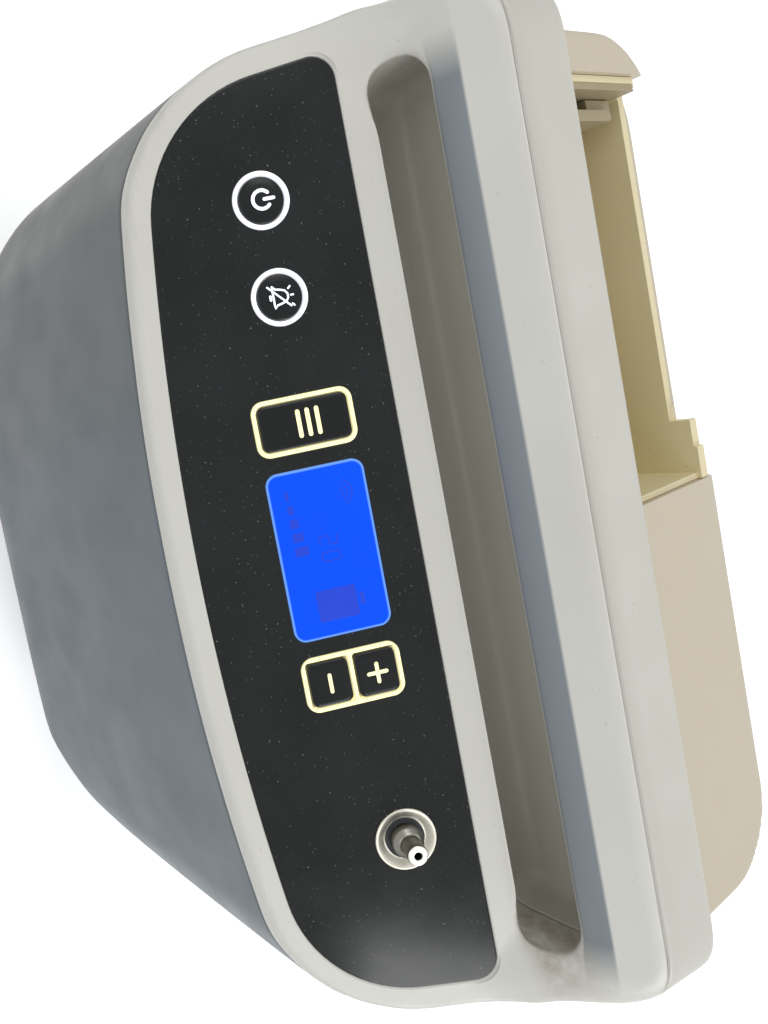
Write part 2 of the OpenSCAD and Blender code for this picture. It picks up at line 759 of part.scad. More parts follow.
// Oxygen outlet, square to the panel
cup_floor = ledge_z + 0.7;
seal_t = 0.6;
nut_t = 3.4;
module outlet_cup() {
    color("#b9bab6") on_panel() translate([outlet_x, outlet_up, 0]) difference() {
        rotate_extrude() polygon([[shank_d / 2 + 0.2, ledge_z], [cup_d / 2 - 0.3, ledge_z],
            [cup_d / 2, ledge_z + 0.3], [cup_d / 2, 0.1], [cup_d / 2 - 0.3, 0.4], [cup_d / 2 - 0.9, 0.4],
            [cup_d / 2 - 2.2, cup_floor], [shank_d / 2 + 0.2, cup_floor]]);
    }
}
module outlet_seal() {
    color("#2b2b2b") on_panel() translate([outlet_x, outlet_up, cup_floor]) difference() {
        cylinder(d = collar_d + 2.4, h = seal_t);
        translate([0, 0, -1]) cylinder(d = shank_d + 0.1, h = seal_t + 2);
    }
}
module outlet_barb() {
    base = cup_floor + seal_t;
    color("#8f9190") on_panel() translate([outlet_x, outlet_up, 0]) difference() {
        rotate_extrude() polygon([
            [0, board_z + 1], [shank_d / 2, board_z + 1], [shank_d / 2, base], [collar_d / 2, base],
            [collar_d / 2, base + 3], [collar_d / 2 - 1, base + 4], [barb_d / 2, base + 4.2],
            [barb_d / 2, barb_h - 0.6], [barb_d / 2 - 0.6, barb_h], [0, barb_h]]);
        translate([0, 0, board_z]) cylinder(d = barb_bore, h = barb_h - board_z + 1);
    }
}
module outlet_nut() {
    color("#9a9c9e") on_panel() translate([outlet_x, outlet_up, ledge_z - ledge_t - nut_t]) difference() {
        cylinder(d = 14, h = nut_t, $fn = 6);
        translate([0, 0, -1]) cylinder(d = shank_d, h = nut_t + 2);
    }
}

// Battery bay: a deep liner, open at the top, with a stepped rear edge
bay_step_1 = bay_edge_z + 5.8;
bay_step_2 = bulge_z - 0.4;
bay_step_w = 9.6;
bay_step_x = bay_right - bay_step_w - 8.2;
bay_in_left = -bay_left + liner_t;
bay_in_front = bay_front_y + liner_t;
bay_in_rear = bay_rear_y - liner_t;
module battery_bay() {
    color("#b5a67f") difference() {
        union() {
            intersection() {
                block(-bay_left, bay_right, bay_front_y, bay_rear_y, bay_floor, bulge_z - 1.6);
                linear_extrude(height = far) polygon(bulge_plan(wall + liner_gap));
            }
            block(bay_step_x - 4.6, bay_right, bay_rear_y - liner_t, bay_rear_y + liner_t, bay_edge_z - 1, bay_step_2);
            block(-bay_left, bay_right, bay_rear_y - liner_t, bay_rear_y + 1, bay_edge_z - 1, bay_edge_z);
            for (at = board_standoffs) translate([at[0], main_board_y + board_t, at[1]])
                rotate([-90, 0, 0]) cylinder(r = 3, h = bay_front_y - main_board_y - board_t + 0.5);
        }
        intersection() {
            block(bay_in_left, bay_right - liner_t, bay_in_front, bay_in_rear, bay_floor + liner_t, far);
            linear_extrude(height = 2 * far) polygon(bulge_plan(wall + liner_gap + liner_t));
        }
        block(-bay_left - 1, bay_step_x, bay_in_rear - 1, y_rear, bay_edge_z, far);
        block(bay_step_x - 0.1, bay_right - bay_step_w, bay_in_rear - 1, y_rear, bay_step_1, far);
        for (at = board_standoffs) translate([at[0], main_board_y, at[1]])
            rotate([-90, 0, 0]) cylinder(r = 1, h = 6);
    }
}
bay_deep = bay_in_rear - bay_in_front;
guide_top = bulge_z - 2;
guide_z = guide_top - guide_l;
slot_x = bay_in_left + 2;
slot_w = 4;
rib_w = 3.2;
latch_gap = 0.3;
latch_nose = 3;
latch_l = bay_deep * 0.35;
latch_y = bay_in_rear - latch_nose - 0.45 - latch_l;
guide_t = 3;
rib_drop = 4;
catch_r = 1.6;
module bay_guide() {
    rib_x = slot_x + slot_w;
    rib_end = bay_in_front + bay_deep * 0.75;
    rib_top = guide_top - rib_drop;
    color("#a99b7c") difference() {
        intersection() {
            linear_extrude(height = far) polygon(bulge_plan(wall + liner_gap + liner_t));
            union() {
                block(bay_in_left, slot_x, bay_in_front, bay_in_rear, guide_z, guide_top);
                block(bay_in_left, rib_x + rib_w, bay_in_front, bay_in_front + guide_t, guide_z, rib_top + 1);
                block(rib_x, rib_x + rib_w, bay_in_front, rib_end, guide_z, rib_top);
                translate([rib_x + rib_w / 2, rib_end, guide_z]) cylinder(r = rib_w / 2, h = rib_top - guide_z);
                block(bay_in_left, rib_x + 1, bay_in_front, bay_in_rear, guide_z, guide_z + guide_t);
            }
        }
        translate([bay_in_left - 1, bay_in_rear - 6, rib_top - 4]) rotate([0, 90, 0]) cylinder(r = catch_r, h = 20);
    }
}
latch_z0 = guide_z + guide_t + latch_gap;
spring_z = latch_z0 + 8;
module bay_latch() {
    nose_h = 10;
    z1 = guide_top - 6;
    x0 = slot_x + latch_gap;
    x1 = slot_x + slot_w - latch_gap;
    color("#8d8064") union() {
        block(x0, x1, latch_y, latch_y + latch_l, latch_z0, z1);
        translate([x0, latch_y + latch_l, z1 - nose_h]) extrude_latch_nose(x1 - x0);
        translate([(x0 + x1) / 2, latch_y + 0.5, spring_z]) rotate([90, 0, 0])
            cylinder(r = spring_r - spring_wire_r - 0.25, h = 4);
    }
}
// Nose of the latch, sloped on top so that the battery pushes it back
module extrude_latch_nose(w) {
    translate([w / 2, 0, 0]) extrude_x(w) polygon([[-1, 0], [latch_nose, 0], [latch_nose, 3], [0, 9], [-1, 9]]);
}
spring_r = 1.45;
spring_wire_r = 0.3;
spring_turns = 6;
module latch_spring() {
    y0 = bay_in_front + guide_t;
    length = latch_y - y0;
    pitch = length / spring_turns;
    color("#b4b6b8") translate([slot_x + slot_w / 2, y0, spring_z]) rotate([-90, 0, 0]) {
        for (i = [0:spring_turns - 1]) translate([0, 0, spring_wire_r + i * pitch])
            rotate_extrude() translate([spring_r, 0]) circle(r = spring_wire_r, $fn = 16);
        for (i = [0:spring_turns - 2]) rotate([0, 0, 180 * i])
            translate([spring_r, 0, spring_wire_r + i * pitch]) cylinder(r = spring_wire_r * 0.9, h = pitch, $fn = 16);
        translate([-spring_r, 0, spring_wire_r + (spring_turns - 1) * pitch])
            cylinder(r = spring_wire_r * 0.9, h = pitch - spring_wire_r, $fn = 16);
    }
}
connector_x = (bay_right - bay_left) / 2 + 6;
module battery_connector() {
    z0 = bay_floor + liner_t;
    y_mid = (bay_in_front + bay_in_rear) / 2;
    color("#232526") difference() {
        block(connector_x - 20, connector_x + 20, y_mid - 7, y_mid + 7, z0, z0 + 12);
        for (i = [-2:2]) translate([connector_x + 7 * i, y_mid, z0 + 9]) cube([4, 8, 10], center = true);
    }
}

// Frame inside: chassis, compressor on rubber isolators, sieve beds, valves and tank
chassis_x0 = 38 - body_w / 2;
chassis_x1 = body_w / 2 - 30;
chassis_y0 = motor_y - 24;
chassis_y1 = motor_y + 40;
isolator_h = 10;
plate_z = chassis_z + chassis_t + isolator_h;
plate_t = 3;
motor_z = plate_z + plate_t + motor_d / 2 + 1;
bed_y = motor_y + 12;
bed_ring_t = 2.2;
bed_gap = 6;
bed_d = (body_w - 124) / 4;
bed_x2 = chassis_x1 - bed_d / 2 - 5;
bed_x1 = bed_x2 - bed_d - bed_gap;
bed_places = [for (x = [bed_x1, bed_x2]) [x, bed_y]];
motor_x0 = chassis_x0 + 6;
crank_x1 = bed_x1 - bed_d / 2 - bed_ring_t - 2.8;
motor_l = (crank_x1 - motor_x0) * 0.525;
isolator_r = 7;
isolator_places = [for (x = [motor_x0 + 2 * isolator_r, crank_x1 - isolator_r - 1],
    y = [motor_y - 2 * isolator_r, motor_y + 2.5 * isolator_r]) [x, y]];
chassis_slot = [8, 18];
module chassis() {
    color("#a7abad") difference() {
        intersection() {
            envelope(wall + 0.4);
            union() {
                block(chassis_x0, chassis_x1, chassis_y0, chassis_y1, chassis_z, chassis_z + chassis_t);
                for (at = bed_places) translate([at[0], at[1], chassis_z])
                    cylinder(r = bed_d / 2 + bed_ring_t, h = chassis_t + 6);
            }
        }
        for (at = bed_places) translate([at[0], at[1], bed_z]) cylinder(r = bed_d / 2 + 0.1, h = 10);
        for (at = base_posts) translate([at[0], at[1], chassis_z - 1]) cylinder(r = screw_r, h = chassis_t + 2);
        for (i = [0:2]) translate([motor_x0 + motor_l * (0.8 + 0.355 * i), motor_y - 11, chassis_z + chassis_t / 2])
            cube([chassis_slot[0], chassis_slot[1], 2 * chassis_t], center = true);
    }
}
module isolators() {
    color("#33363a") for (at = isolator_places) translate([at[0], at[1], chassis_z + chassis_t])
        rotate_extrude() polygon([[0, 0], [isolator_r, 0], [isolator_r, 2.5], [isolator_r - 2, 4],
            [isolator_r - 2, isolator_h - 4], [isolator_r, isolator_h - 2.5], [isolator_r, isolator_h],
            [0, isolator_h]]);
}
crank_x0 = motor_x0 + motor_l;
crank_l = crank_x1 - crank_x0;
can_t = 3;
crank_r = motor_d / 2 - 4;
crank_end = 10;
cylinder_xs = [crank_x0 + crank_end, crank_x0 + crank_l - crank_end];
piston_d = (crank_l - 8) / 2;
cylinder_r = piston_d / 2 + 3;
cylinder_top = motor_z + crank_r + 22;
shaft_r = 5;
bearing_gap = 0.05;
module along_x(x0, length, r) {
    translate([x0, motor_y, motor_z]) rotate([0, 90, 0]) cylinder(r = r, h = length);
}
module compressor_housing() {
    foot_w = 12;
    color("#9da2a6") difference() {
        union() {
            block(motor_x0 - 4, crank_x0 + crank_l, motor_y - 24, motor_y + 24, plate_z, plate_z + plate_t);
            block(motor_x0 + 6, crank_x0 - 6, motor_y - foot_w, motor_y + foot_w, plate_z, motor_z - motor_d / 4);
            block(crank_x0 + 6, crank_x0 + crank_l - 6, motor_y - foot_w, motor_y + foot_w,
                plate_z, motor_z - crank_r / 2);
            along_x(motor_x0, motor_l, motor_d / 2);
            along_x(crank_x0 - 1, crank_l + 1, crank_r);
            for (x = cylinder_xs) translate([x, motor_y, motor_z])
                cylinder(r = cylinder_r, h = cylinder_top - motor_z);
            translate([muffler_x, motor_y, motor_z]) cylinder(r = muffler_neck_r + 1.5, h = motor_d / 2 + 2);
        }
        along_x(motor_x0 + can_t, motor_l - 2 * can_t, motor_d / 2 - can_t);
        along_x(crank_x0 + 1, crank_l - 4, crank_r - 4);
        along_x(motor_x0 - 1, motor_l + crank_l, shaft_r + bearing_gap);
        for (x = cylinder_xs) translate([x, motor_y, motor_z + 8])
            cylinder(r = piston_d / 2, h = cylinder_top - motor_z);
    }
}
module compressor_rotor() {
    throw = 3;
    cam_w = 8;
    color("#c2c5c7") {
        along_x(motor_x0 - 4, motor_l + crank_l - 1, shaft_r);
        along_x(motor_x0 + can_t + cam_w, motor_l - 2 * (can_t + cam_w), motor_d / 2 - can_t - 6);
        for (x = cylinder_xs) translate([x - cam_w / 2, motor_y + throw, motor_z])
            rotate([0, 90, 0]) cylinder(r = shaft_r + throw + 1, h = cam_w);
    }
}
module compressor_heads() {
    fin = 1.4;
    head_l = 21;
    head_w = 34;
    color("#b3b7ba") for (x = cylinder_xs) {
        translate([x, motor_y, cylinder_top]) cylinder(r = cylinder_r, h = 3);
        for (i = [0:3]) block(x - head_l / 2, x + head_l / 2, motor_y - head_w / 2, motor_y + head_w / 2,
            cylinder_top + 3 * (i + 1), cylinder_top + 3 * (i + 1) + fin);
        block(x - head_l / 2 + fin, x + head_l / 2 - fin, motor_y - head_w / 2 + 3, motor_y + head_w / 2 - 3,
            cylinder_top + 2.9, cylinder_top + 14);
    }
}
bed_z = chassis_z + chassis_t;
cap_h = 8;
manifold_drop = 71.7;
manifold_z = panel_at(bed_y) - manifold_drop;
bed_h = manifold_z - cap_h - bed_z;
module sieve_beds() {
    color("#d8dadb") for (at = bed_places) translate([at[0], at[1], bed_z]) cylinder(r = bed_d / 2, h = bed_h);
}
module bed_caps() {
    color("#3d4144") for (at = bed_places) translate([at[0], at[1], bed_z + bed_h - 6]) difference() {
        cylinder(r = bed_d / 2 + 2, h = 6 + cap_h);
        translate([0, 0, -1]) cylinder(r = bed_d / 2 + 0.05, h = 7);
    }
}
manifold_h = 14;
manifold_y0 = bed_y - 16;
valve_xs = [bed_x1 - 10, bed_x1 + 13, bed_x2 + 17];
module valve_manifold() {
    color("#2e3133") difference() {
        block(bed_places[0][0] - 20, bed_places[1][0] + 26, manifold_y0, manifold_y0 + 32,
            manifold_z, manifold_z + manifold_h);
        for (at = bed_places) translate([at[0], at[1], manifold_z - 1]) cylinder(r = 4, h = 8);
        on_panel() panel_hole(outlet_at, filter_nozzle_r + fit_gap, board_z - filter_drop, board_z - 20);
    }
}
module solenoid_valves() {
    valve_w = 16;
    color("#4b5054") for (x = valve_xs) {
        block(x - valve_w / 2, x + valve_w / 2, bed_y - 10, bed_y + 10,
            manifold_z + manifold_h, manifold_z + manifold_h + 5);
        translate([x, bed_y, manifold_z + manifold_h + 4.9]) cylinder(r = 6, h = 9);
    }
}
tank_d = min(bay_rear_y - bay_front_y - 6.1, fan_x - fan_side / 2 - bay_right - 4.6);
tank_at = [bay_right + tank_d / 2 + 1.6, (bay_front_y + bay_rear_y) / 2];
tank_z = 74;
neck_h = 3;
module product_tank() {
    color("#c8cccf") {
        translate([tank_at[0], tank_at[1], tank_z]) {
            cylinder(r = tank_d / 2 - 3, h = neck_h + 0.1);
            translate([0, 0, neck_h]) cylinder(r = tank_d / 2, h = tank_h - 2 * neck_h);
            translate([0, 0, tank_h - neck_h - 0.1]) cylinder(r = tank_d / 2 - 3, h = neck_h + 0.1);
            translate([0, 0, tank_h - 0.1]) cylinder(r = 3, h = 5);
        }
        block(bay_right, tank_at[0], tank_at[1] - 6, tank_at[1] + 6, tank_z + 30, tank_z + 38);
    }
}
muffler_x = motor_x0 + 24;
muffler_z = 108;
muffler_r = 17;
muffler_neck_r = 6;
module intake_muffler() {
    muffler_h = panel_at(motor_y) - 68.5 - muffler_z;
    top = motor_z + motor_d / 2 + 2;
    color("#303336") translate([muffler_x, motor_y, 0]) {
        translate([0, 0, top]) cylinder(r = muffler_neck_r, h = muffler_z - top + 1);
        translate([0, 0, muffler_z]) cylinder(r = muffler_r, h = muffler_h);
        translate([muffler_r - 3, 0, muffler_z + muffler_h - 12]) rotate([0, 90, 0]) cylinder(r = 4, h = 17);
    }
}
module heat_exchanger() {
    x0 = fan_x - 26;
    x1 = fan_x + 26;
    y0 = fan_y - 13;
    color("#b87449") {
        for (i = [0:8]) block(x0 + i * 6.3, x0 + i * 6.3 + 1.2, y0, y0 + 12.9, fan_z - 26, fan_z + 26);
        for (z = [-18, 0, 18]) translate([x0 - 4, y0 + 6, fan_z + z]) rotate([0, 90, 0])
            cylinder(r = 3, h = x1 - x0 + 8);
    }
    color("#8f9496") for (x = [fan_x - fan_side / 2, fan_x + fan_side / 2 - 4])
        block(x, x + 4, y0, fan_y, fan_z - 24, fan_z + 24);
}
fan_z = 74;
fan_y = y_rear - wall - 2 - fan_t;
module fan_frame() {
    color("#26282a") translate([fan_x, fan_y, fan_z]) difference() {
        union() {
            translate([0, fan_t / 2, 0]) difference() {
                extrude_y(fan_t) polygon(rounded_box(fan_side, fan_side, 3));
                rotate([90, 0, 0]) cylinder(d = fan_side - 4, h = fan_t + 2, center = true);
            }
            for (a = [0:90:270]) rotate([0, a + 45, 0]) translate([0, 0, -1.5]) cube([fan_side / 2, 2, 3]);
            rotate([-90, 0, 0]) cylinder(r = 11, h = 2);
        }
        rotate([-90, 0, 0]) translate([0, 0, -1]) cylinder(r = fan_shaft_r + bearing_gap, h = 4);
    }
}
fan_shaft_r = 2;
module fan_impeller() {
    blade_r = fan_side / 2 - 3.2;
    color("#3b3e41") translate([fan_x, fan_y, fan_z]) rotate([-90, 0, 0]) {
        translate([0, 0, 2.6]) cylinder(r = 11, h = fan_t - 5);
        translate([0, 0, 0.6]) cylinder(r = fan_shaft_r, h = 2.4);
        for (i = [0:fan_blades - 1]) rotate([0, 0, 360 * i / fan_blades])
            translate([10, 0, fan_t / 2]) rotate([38, 0, 0]) translate([0, -5, -0.6]) cube([blade_r - 10.6, 10, 1.2]);
    }
}
module exhaust_opening() {
    block(fan_x - fan_side / 2 + 3, fan_x + fan_side / 2 - 3, y_rear - 8, y_rear + 1,
        fan_z - fan_side / 2 + 3, fan_z + fan_side / 2 - 3);
}
module exhaust_grille() {
    half = fan_side / 2 - 3 - fit_gap;
    y0 = y_rear - wall - 2;
    color("#4a4f53") {
        difference() {
            block(fan_x - half, fan_x + half, y0 + 2, y_rear - 0.4, fan_z - half, fan_z + half);
            block(fan_x - half + 3, fan_x + half - 3, y0, y_rear + 1, fan_z - half + 3, fan_z + half - 3);
        }
        for (i = [-4:4]) block(fan_x - half + 2, fan_x + half - 2, y0 + 2, y_rear - 0.8,
            fan_z + i * 5.4 - 1.1, fan_z + i * 5.4 + 1.1);
        difference() {
            block(fan_x - fan_side / 2, fan_x + fan_side / 2, y0, y0 + 2,
                fan_z - fan_side / 2, fan_z + fan_side / 2);
            block(fan_x - half + 3, fan_x + half - 3, y0 - 1, y0 + 3, fan_z - half + 3, fan_z + half - 3);
        }
    }
}

intake_x = fan_x;
intake_z = 160;
intake_seat_y = y_rear - 6;
module intake_box(grow, y0, y1) {
    block(intake_x - intake_w / 2 - grow, intake_x + intake_w / 2 + grow, y0, y1,
        intake_z - intake_h / 2 - grow, intake_z + intake_h / 2 + grow);
}
// Seat of the removable grille, moulded into the shell
module intake_frame() {
    difference() {
        intake_box(wall, intake_seat_y - 12, y_rear - 1);
        intake_box(0, intake_seat_y - 10, y_rear + 1);
        intake_box(-6, intake_seat_y - 20, y_rear + 1);
    }
}
module intake_opening() {
    intake_box(0, intake_seat_y - 10, y_rear + 1);
    intake_box(-6, intake_seat_y - 20, y_rear + 1);
}
module intake_foam() {
    color("#4c4f52") intake_box(-fit_gap, intake_seat_y - 10, intake_seat_y - 0.3);
}
module intake_grille() {
    slots = 9;
    slot_pitch = (intake_h - 12) / slots;
    slot_z = intake_z - intake_h / 2 + 6;
    color("#c6c0b3") difference() {
        intake_box(-0.3, intake_seat_y, y_rear - 0.3);
        for (i = [0:slots - 1])
            block(intake_x - intake_w / 2 + 6, intake_x + intake_w / 2 - 6, intake_seat_y - 1, y_rear + 1,
                slot_z + (i + 0.25) * slot_pitch, slot_z + (i + 0.75) * slot_pitch);
        block(intake_x - 12, intake_x + 12, y_rear - 3, y_rear + 1,
            intake_z + intake_h / 2 - 4.5, intake_z + intake_h / 2 - 1.5);
    }
}

// Circuit board on the front of the bay
main_board_y = bay_front_y - 7.6;
main_board_x = [9.4 - bay_left, bay_right - 6.4];
main_board_z = [bay_floor + 40, pocket_z - 14.6];
standoff_in = 6;
board_standoffs = [for (x = [main_board_x[0] + standoff_in, main_board_x[1] - standoff_in],
    z = [main_board_z[0] + standoff_in, main_board_z[1] - standoff_in]) [x, z]];
capacitor_r = 5;
capacitor_h = 9;
chip_w = 24;
plug_w = 20;
module main_board() {
    color("#2f6b46") difference() {
        union() {
            block(main_board_x[0], main_board_x[1], main_board_y, main_board_y + board_t,
                main_board_z[0], main_board_z[1]);
            for (i = [0:2]) translate([main_board_x[0] + 18 + 4 * i * capacitor_r, main_board_y + 0.1,
                main_board_z[1] - 32]) rotate([90, 0, 0]) cylinder(r = capacitor_r, h = capacitor_h);
            translate([main_board_x[0] + 46, main_board_y - 3, main_board_z[0] + 18]) cube([chip_w, 3.1, chip_w]);
            translate([main_board_x[1] - plug_w - 6, main_board_y - 8, main_board_z[1] - 52]) cube([plug_w, 8.1, 12]);
        }
        for (at = board_standoffs) translate([at[0], main_board_y - 1, at[1]])
            rotate([-90, 0, 0]) cylinder(r = 1.2, h = board_t + 2);
    }
}

// Product gas filter between the manifold and the outlet, in line with the outlet
sleeve_l = 9;
filter_nozzle_r = 3;
filter_r = 8;
filter_drop = 38;
module outlet_tube() {
    color("#dfe3e4") on_panel() translate([outlet_x, outlet_up, board_z + 2.8 - sleeve_l]) difference() {
        cylinder(r = shank_d / 2 + 1.4, h = sleeve_l);
        translate([0, 0, -1]) cylinder(r = shank_d / 2, h = sleeve_l + 2);
    }
}
module product_filter() {
    filter_top = board_z + 0.6;
    color("#e4e6e6") on_panel() {
        panel_hole(outlet_at, shank_d / 2, filter_top - 8, filter_top);
        panel_hole(outlet_at, filter_r, filter_top - 24, filter_top - 7.9);
        panel_hole(outlet_at, filter_nozzle_r, board_z - filter_drop + 0.2, filter_top - 23.9);
    }
}

// Power inlet under its hinged cover
recess_w = 24;
recess_h = 30;
recess_deep = 3;
recess_r = 3;
module dc_recess(cut) {
    if (cut > 0) {
        block(dc_x - recess_w / 2, dc_x + recess_w / 2, y_rear - recess_deep, y_rear + 1,
            dc_z - recess_h / 2, dc_z + recess_h / 2);
        translate([dc_x, y_rear - 12, dc_z]) rotate([-90, 0, 0]) cylinder(d = jack_d + 0.2, h = 14);
    } else {
        block(dc_x - recess_w / 2 - wall, dc_x + recess_w / 2 + wall, y_rear - recess_deep - wall, y_rear - 1,
            dc_z - recess_h / 2 - wall, dc_z + recess_h / 2 + wall);
    }
}
jack_d = 11;
module dc_jack() {
    floor_y = y_rear - recess_deep;
    color("#242628") translate([dc_x, 0, dc_z]) rotate([-90, 0, 0]) difference() {
        union() {
            translate([0, 0, floor_y - wall - 9]) cylinder(d = jack_d, h = wall + 9);
            translate([0, 0, floor_y - wall - 14]) cylinder(d = jack_d - 3, h = 6);
        }
        translate([0, 0, floor_y - 11]) cylinder(d = dc_bore, h = 12);
    }
}
module dc_nut() {
    color("#9a9c9e") translate([dc_x, y_rear - recess_deep - wall - 3, dc_z]) rotate([-90, 0, 0]) difference() {
        cylinder(d = 16, h = 3, $fn = 6);
        translate([0, 0, -1]) cylinder(d = jack_d, h = 5);
    }
}
cover_gap = 0.4;
cover_t = 2;
cover_y = y_rear - 0.3;
hinge_pin_r = 0.7;
hinge_pin_l = 1.4;
hinge_y = cover_y - cover_t / 2;
hinge_z = dc_z + recess_h / 2 - cover_gap - cover_t / 2;
module dc_hinge_holes() {
    translate([dc_x - recess_w / 2 - hinge_pin_l, hinge_y, hinge_z]) rotate([0, 90, 0])
        cylinder(r = hinge_pin_r + bearing_gap, h = recess_w + 2 * hinge_pin_l);
}
module dc_cover() {
    half = recess_w / 2 - cover_gap;
    color("#b9b2a6") {
        block(dc_x - half, dc_x + half, cover_y - cover_t, cover_y, dc_z - recess_h / 2 + cover_gap, hinge_z);
        translate([dc_x - half, hinge_y, hinge_z]) rotate([0, 90, 0]) cylinder(r = cover_t / 2, h = 2 * half);
        translate([dc_x - half - hinge_pin_l, hinge_y, hinge_z]) rotate([0, 90, 0])
            cylinder(r = hinge_pin_r, h = 2 * (half + hinge_pin_l));
        translate([dc_x, cover_y - cover_t - 0.6, dc_z]) rotate([-90, 0, 0]) cylinder(d = dc_bore - 0.6, h = 1);
    }
}

front_cover();
top_frame();
rear_shell();
base_pan();
feet();
cart_insert();
base_screws();
control_fascia();
lcd_window();
lcd_module();
display_board();
board_screws();
buzzer();
power_button();
alarm_button();
mode_button();
plus_button();
minus_button();
key_domes();
power_light_ring();
alarm_light_ring();
mode_light_frame();
level_light_frame();
outlet_cup();
outlet_barb();
outlet_seal();
outlet_nut();
outlet_tube();
product_filter();
battery_bay();
bay_guide();
bay_latch();
latch_spring();
battery_connector();
chassis();
isolators();
compressor_housing();
compressor_rotor();
compressor_heads();
sieve_beds();
bed_caps();
valve_manifold();
solenoid_valves();
product_tank();
intake_muffler();
heat_exchanger();
fan_frame();
fan_impeller();
exhaust_grille();
intake_grille();
intake_foam();
main_board();
dc_jack();
dc_nut();
dc_cover();
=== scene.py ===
import math
import bpy
import bmesh
import numpy as np
from mathutils import Matrix, Vector


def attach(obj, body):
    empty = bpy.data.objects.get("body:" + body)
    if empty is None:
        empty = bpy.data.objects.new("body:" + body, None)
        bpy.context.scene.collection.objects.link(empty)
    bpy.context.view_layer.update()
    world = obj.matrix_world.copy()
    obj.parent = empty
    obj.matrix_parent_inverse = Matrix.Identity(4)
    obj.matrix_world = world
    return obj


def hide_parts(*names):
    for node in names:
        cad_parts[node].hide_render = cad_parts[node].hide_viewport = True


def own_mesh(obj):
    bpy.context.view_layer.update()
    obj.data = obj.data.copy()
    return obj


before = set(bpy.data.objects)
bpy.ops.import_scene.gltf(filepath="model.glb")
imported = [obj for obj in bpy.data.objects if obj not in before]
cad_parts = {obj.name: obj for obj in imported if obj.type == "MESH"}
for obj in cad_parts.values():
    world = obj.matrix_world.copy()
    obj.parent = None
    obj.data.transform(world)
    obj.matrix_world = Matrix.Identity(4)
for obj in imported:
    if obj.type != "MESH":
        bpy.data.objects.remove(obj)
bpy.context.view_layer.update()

scene = bpy.context.scene
MM = 0.001


def add_object(name, data):
    ob = bpy.data.objects.new(name, data)
    scene.collection.objects.link(ob)
    return ob


# ---------------------------------------------------------------- camera, light, floor
VIEW_ROWS = ((0.19922121, 0.83031932, 0.52046204),
             (0.97758975, -0.20526834, -0.04672454),
             (0.06803809, 0.51810688, -0.85260546))
VIEW_FROM = (-51.758, -189.178, 378.785)
FOCAL_PX, CENTRE_X, CENTRE_Y = 830.06, 173.148, 452.258
PICTURE_W, PICTURE_H, SENSOR = 768, 1024, 36.0


def make_camera():
    data = bpy.data.cameras.new("camera")
    cam = add_object("camera", data)
    r, d, f = (Vector(v) for v in VIEW_ROWS)
    m = Matrix((r, -d, -f)).transposed().to_4x4()
    m.translation = Vector(VIEW_FROM) * MM
    cam.matrix_world = m
    data.sensor_fit = "VERTICAL"
    data.sensor_height = SENSOR
    data.lens = FOCAL_PX / PICTURE_H * SENSOR
    data.shift_x = (PICTURE_W / 2 - CENTRE_X) / PICTURE_H
    data.shift_y = (CENTRE_Y - PICTURE_H / 2) / PICTURE_H
    data.clip_start = 0.01
    scene.camera = cam


def area_light(name, at, look, size, power):
    data = bpy.data.lights.new(name, "AREA")
    data.shape = "RECTANGLE"
    data.size, data.size_y = size
    data.energy = power
    ob = add_object(name, data)
    ob.location = at
    ob.rotation_euler = (Vector(look) - Vector(at)).to_track_quat("-Z", "Y").to_euler()


def seen_rays(tree):
    """1 for camera, glossy and transmission rays, which see the white surroundings."""
    path = tree.nodes.new("ShaderNodeLightPath")
    total = path.outputs["Is Camera Ray"]
    for other in ("Is Glossy Ray", "Is Transmission Ray"):
        n = tree.nodes.new("ShaderNodeMath")
        n.operation = "MAXIMUM"
        tree.links.new(total, n.inputs[0])
        tree.links.new(path.outputs[other], n.inputs[1])
        total = n.outputs[0]
    return total


def make_stage():
    bm = bmesh.new()
    bmesh.ops.create_grid(bm, x_segments=2, y_segments=2, size=3.0)
    me = bpy.data.meshes.new("floor")
    bm.to_mesh(me)
    bm.free()
    ob = add_object("floor", me)
    ob.location = (0, 0, -0.0005)
    mat = bpy.data.materials.new("floor_white")
    mat.use_nodes = True
    t = mat.node_tree
    t.nodes.clear()
    out = t.nodes.new("ShaderNodeOutputMaterial")
    base = t.nodes.new("ShaderNodeBsdfDiffuse")
    base.inputs["Color"].default_value = (0.86, 0.86, 0.86, 1)
    lit = t.nodes.new("ShaderNodeEmission")
    lit.inputs["Strength"].default_value = 0.5
    add = t.nodes.new("ShaderNodeAddShader")
    mix = t.nodes.new("ShaderNodeMixShader")
    t.links.new(base.outputs[0], add.inputs[0])
    t.links.new(lit.outputs[0], add.inputs[1])
    t.links.new(seen_rays(t), mix.inputs[0])
    t.links.new(base.outputs[0], mix.inputs[1])
    t.links.new(add.outputs[0], mix.inputs[2])
    t.links.new(mix.outputs[0], out.inputs[0])
    ob.data.materials.append(mat)
    world = bpy.data.worlds.new("studio")
    scene.world = world
    world.use_nodes = True
    t = world.node_tree
    t.nodes.clear()
    out = t.nodes.new("ShaderNodeOutputWorld")
    soft = t.nodes.new("ShaderNodeBackground")
    soft.inputs["Color"].default_value = (0.93, 0.96, 1.0, 1)
    soft.inputs["Strength"].default_value = 0.40
    white = t.nodes.new("ShaderNodeBackground")
    white.inputs["Color"].default_value = (1, 1, 1, 1)
    mix = t.nodes.new("ShaderNodeMixShader")
    t.links.new(seen_rays(t), mix.inputs[0])
    t.links.new(soft.outputs[0], mix.inputs[1])
    t.links.new(white.outputs[0], mix.inputs[2])
    t.links.new(mix.outputs[0], out.inputs[0])


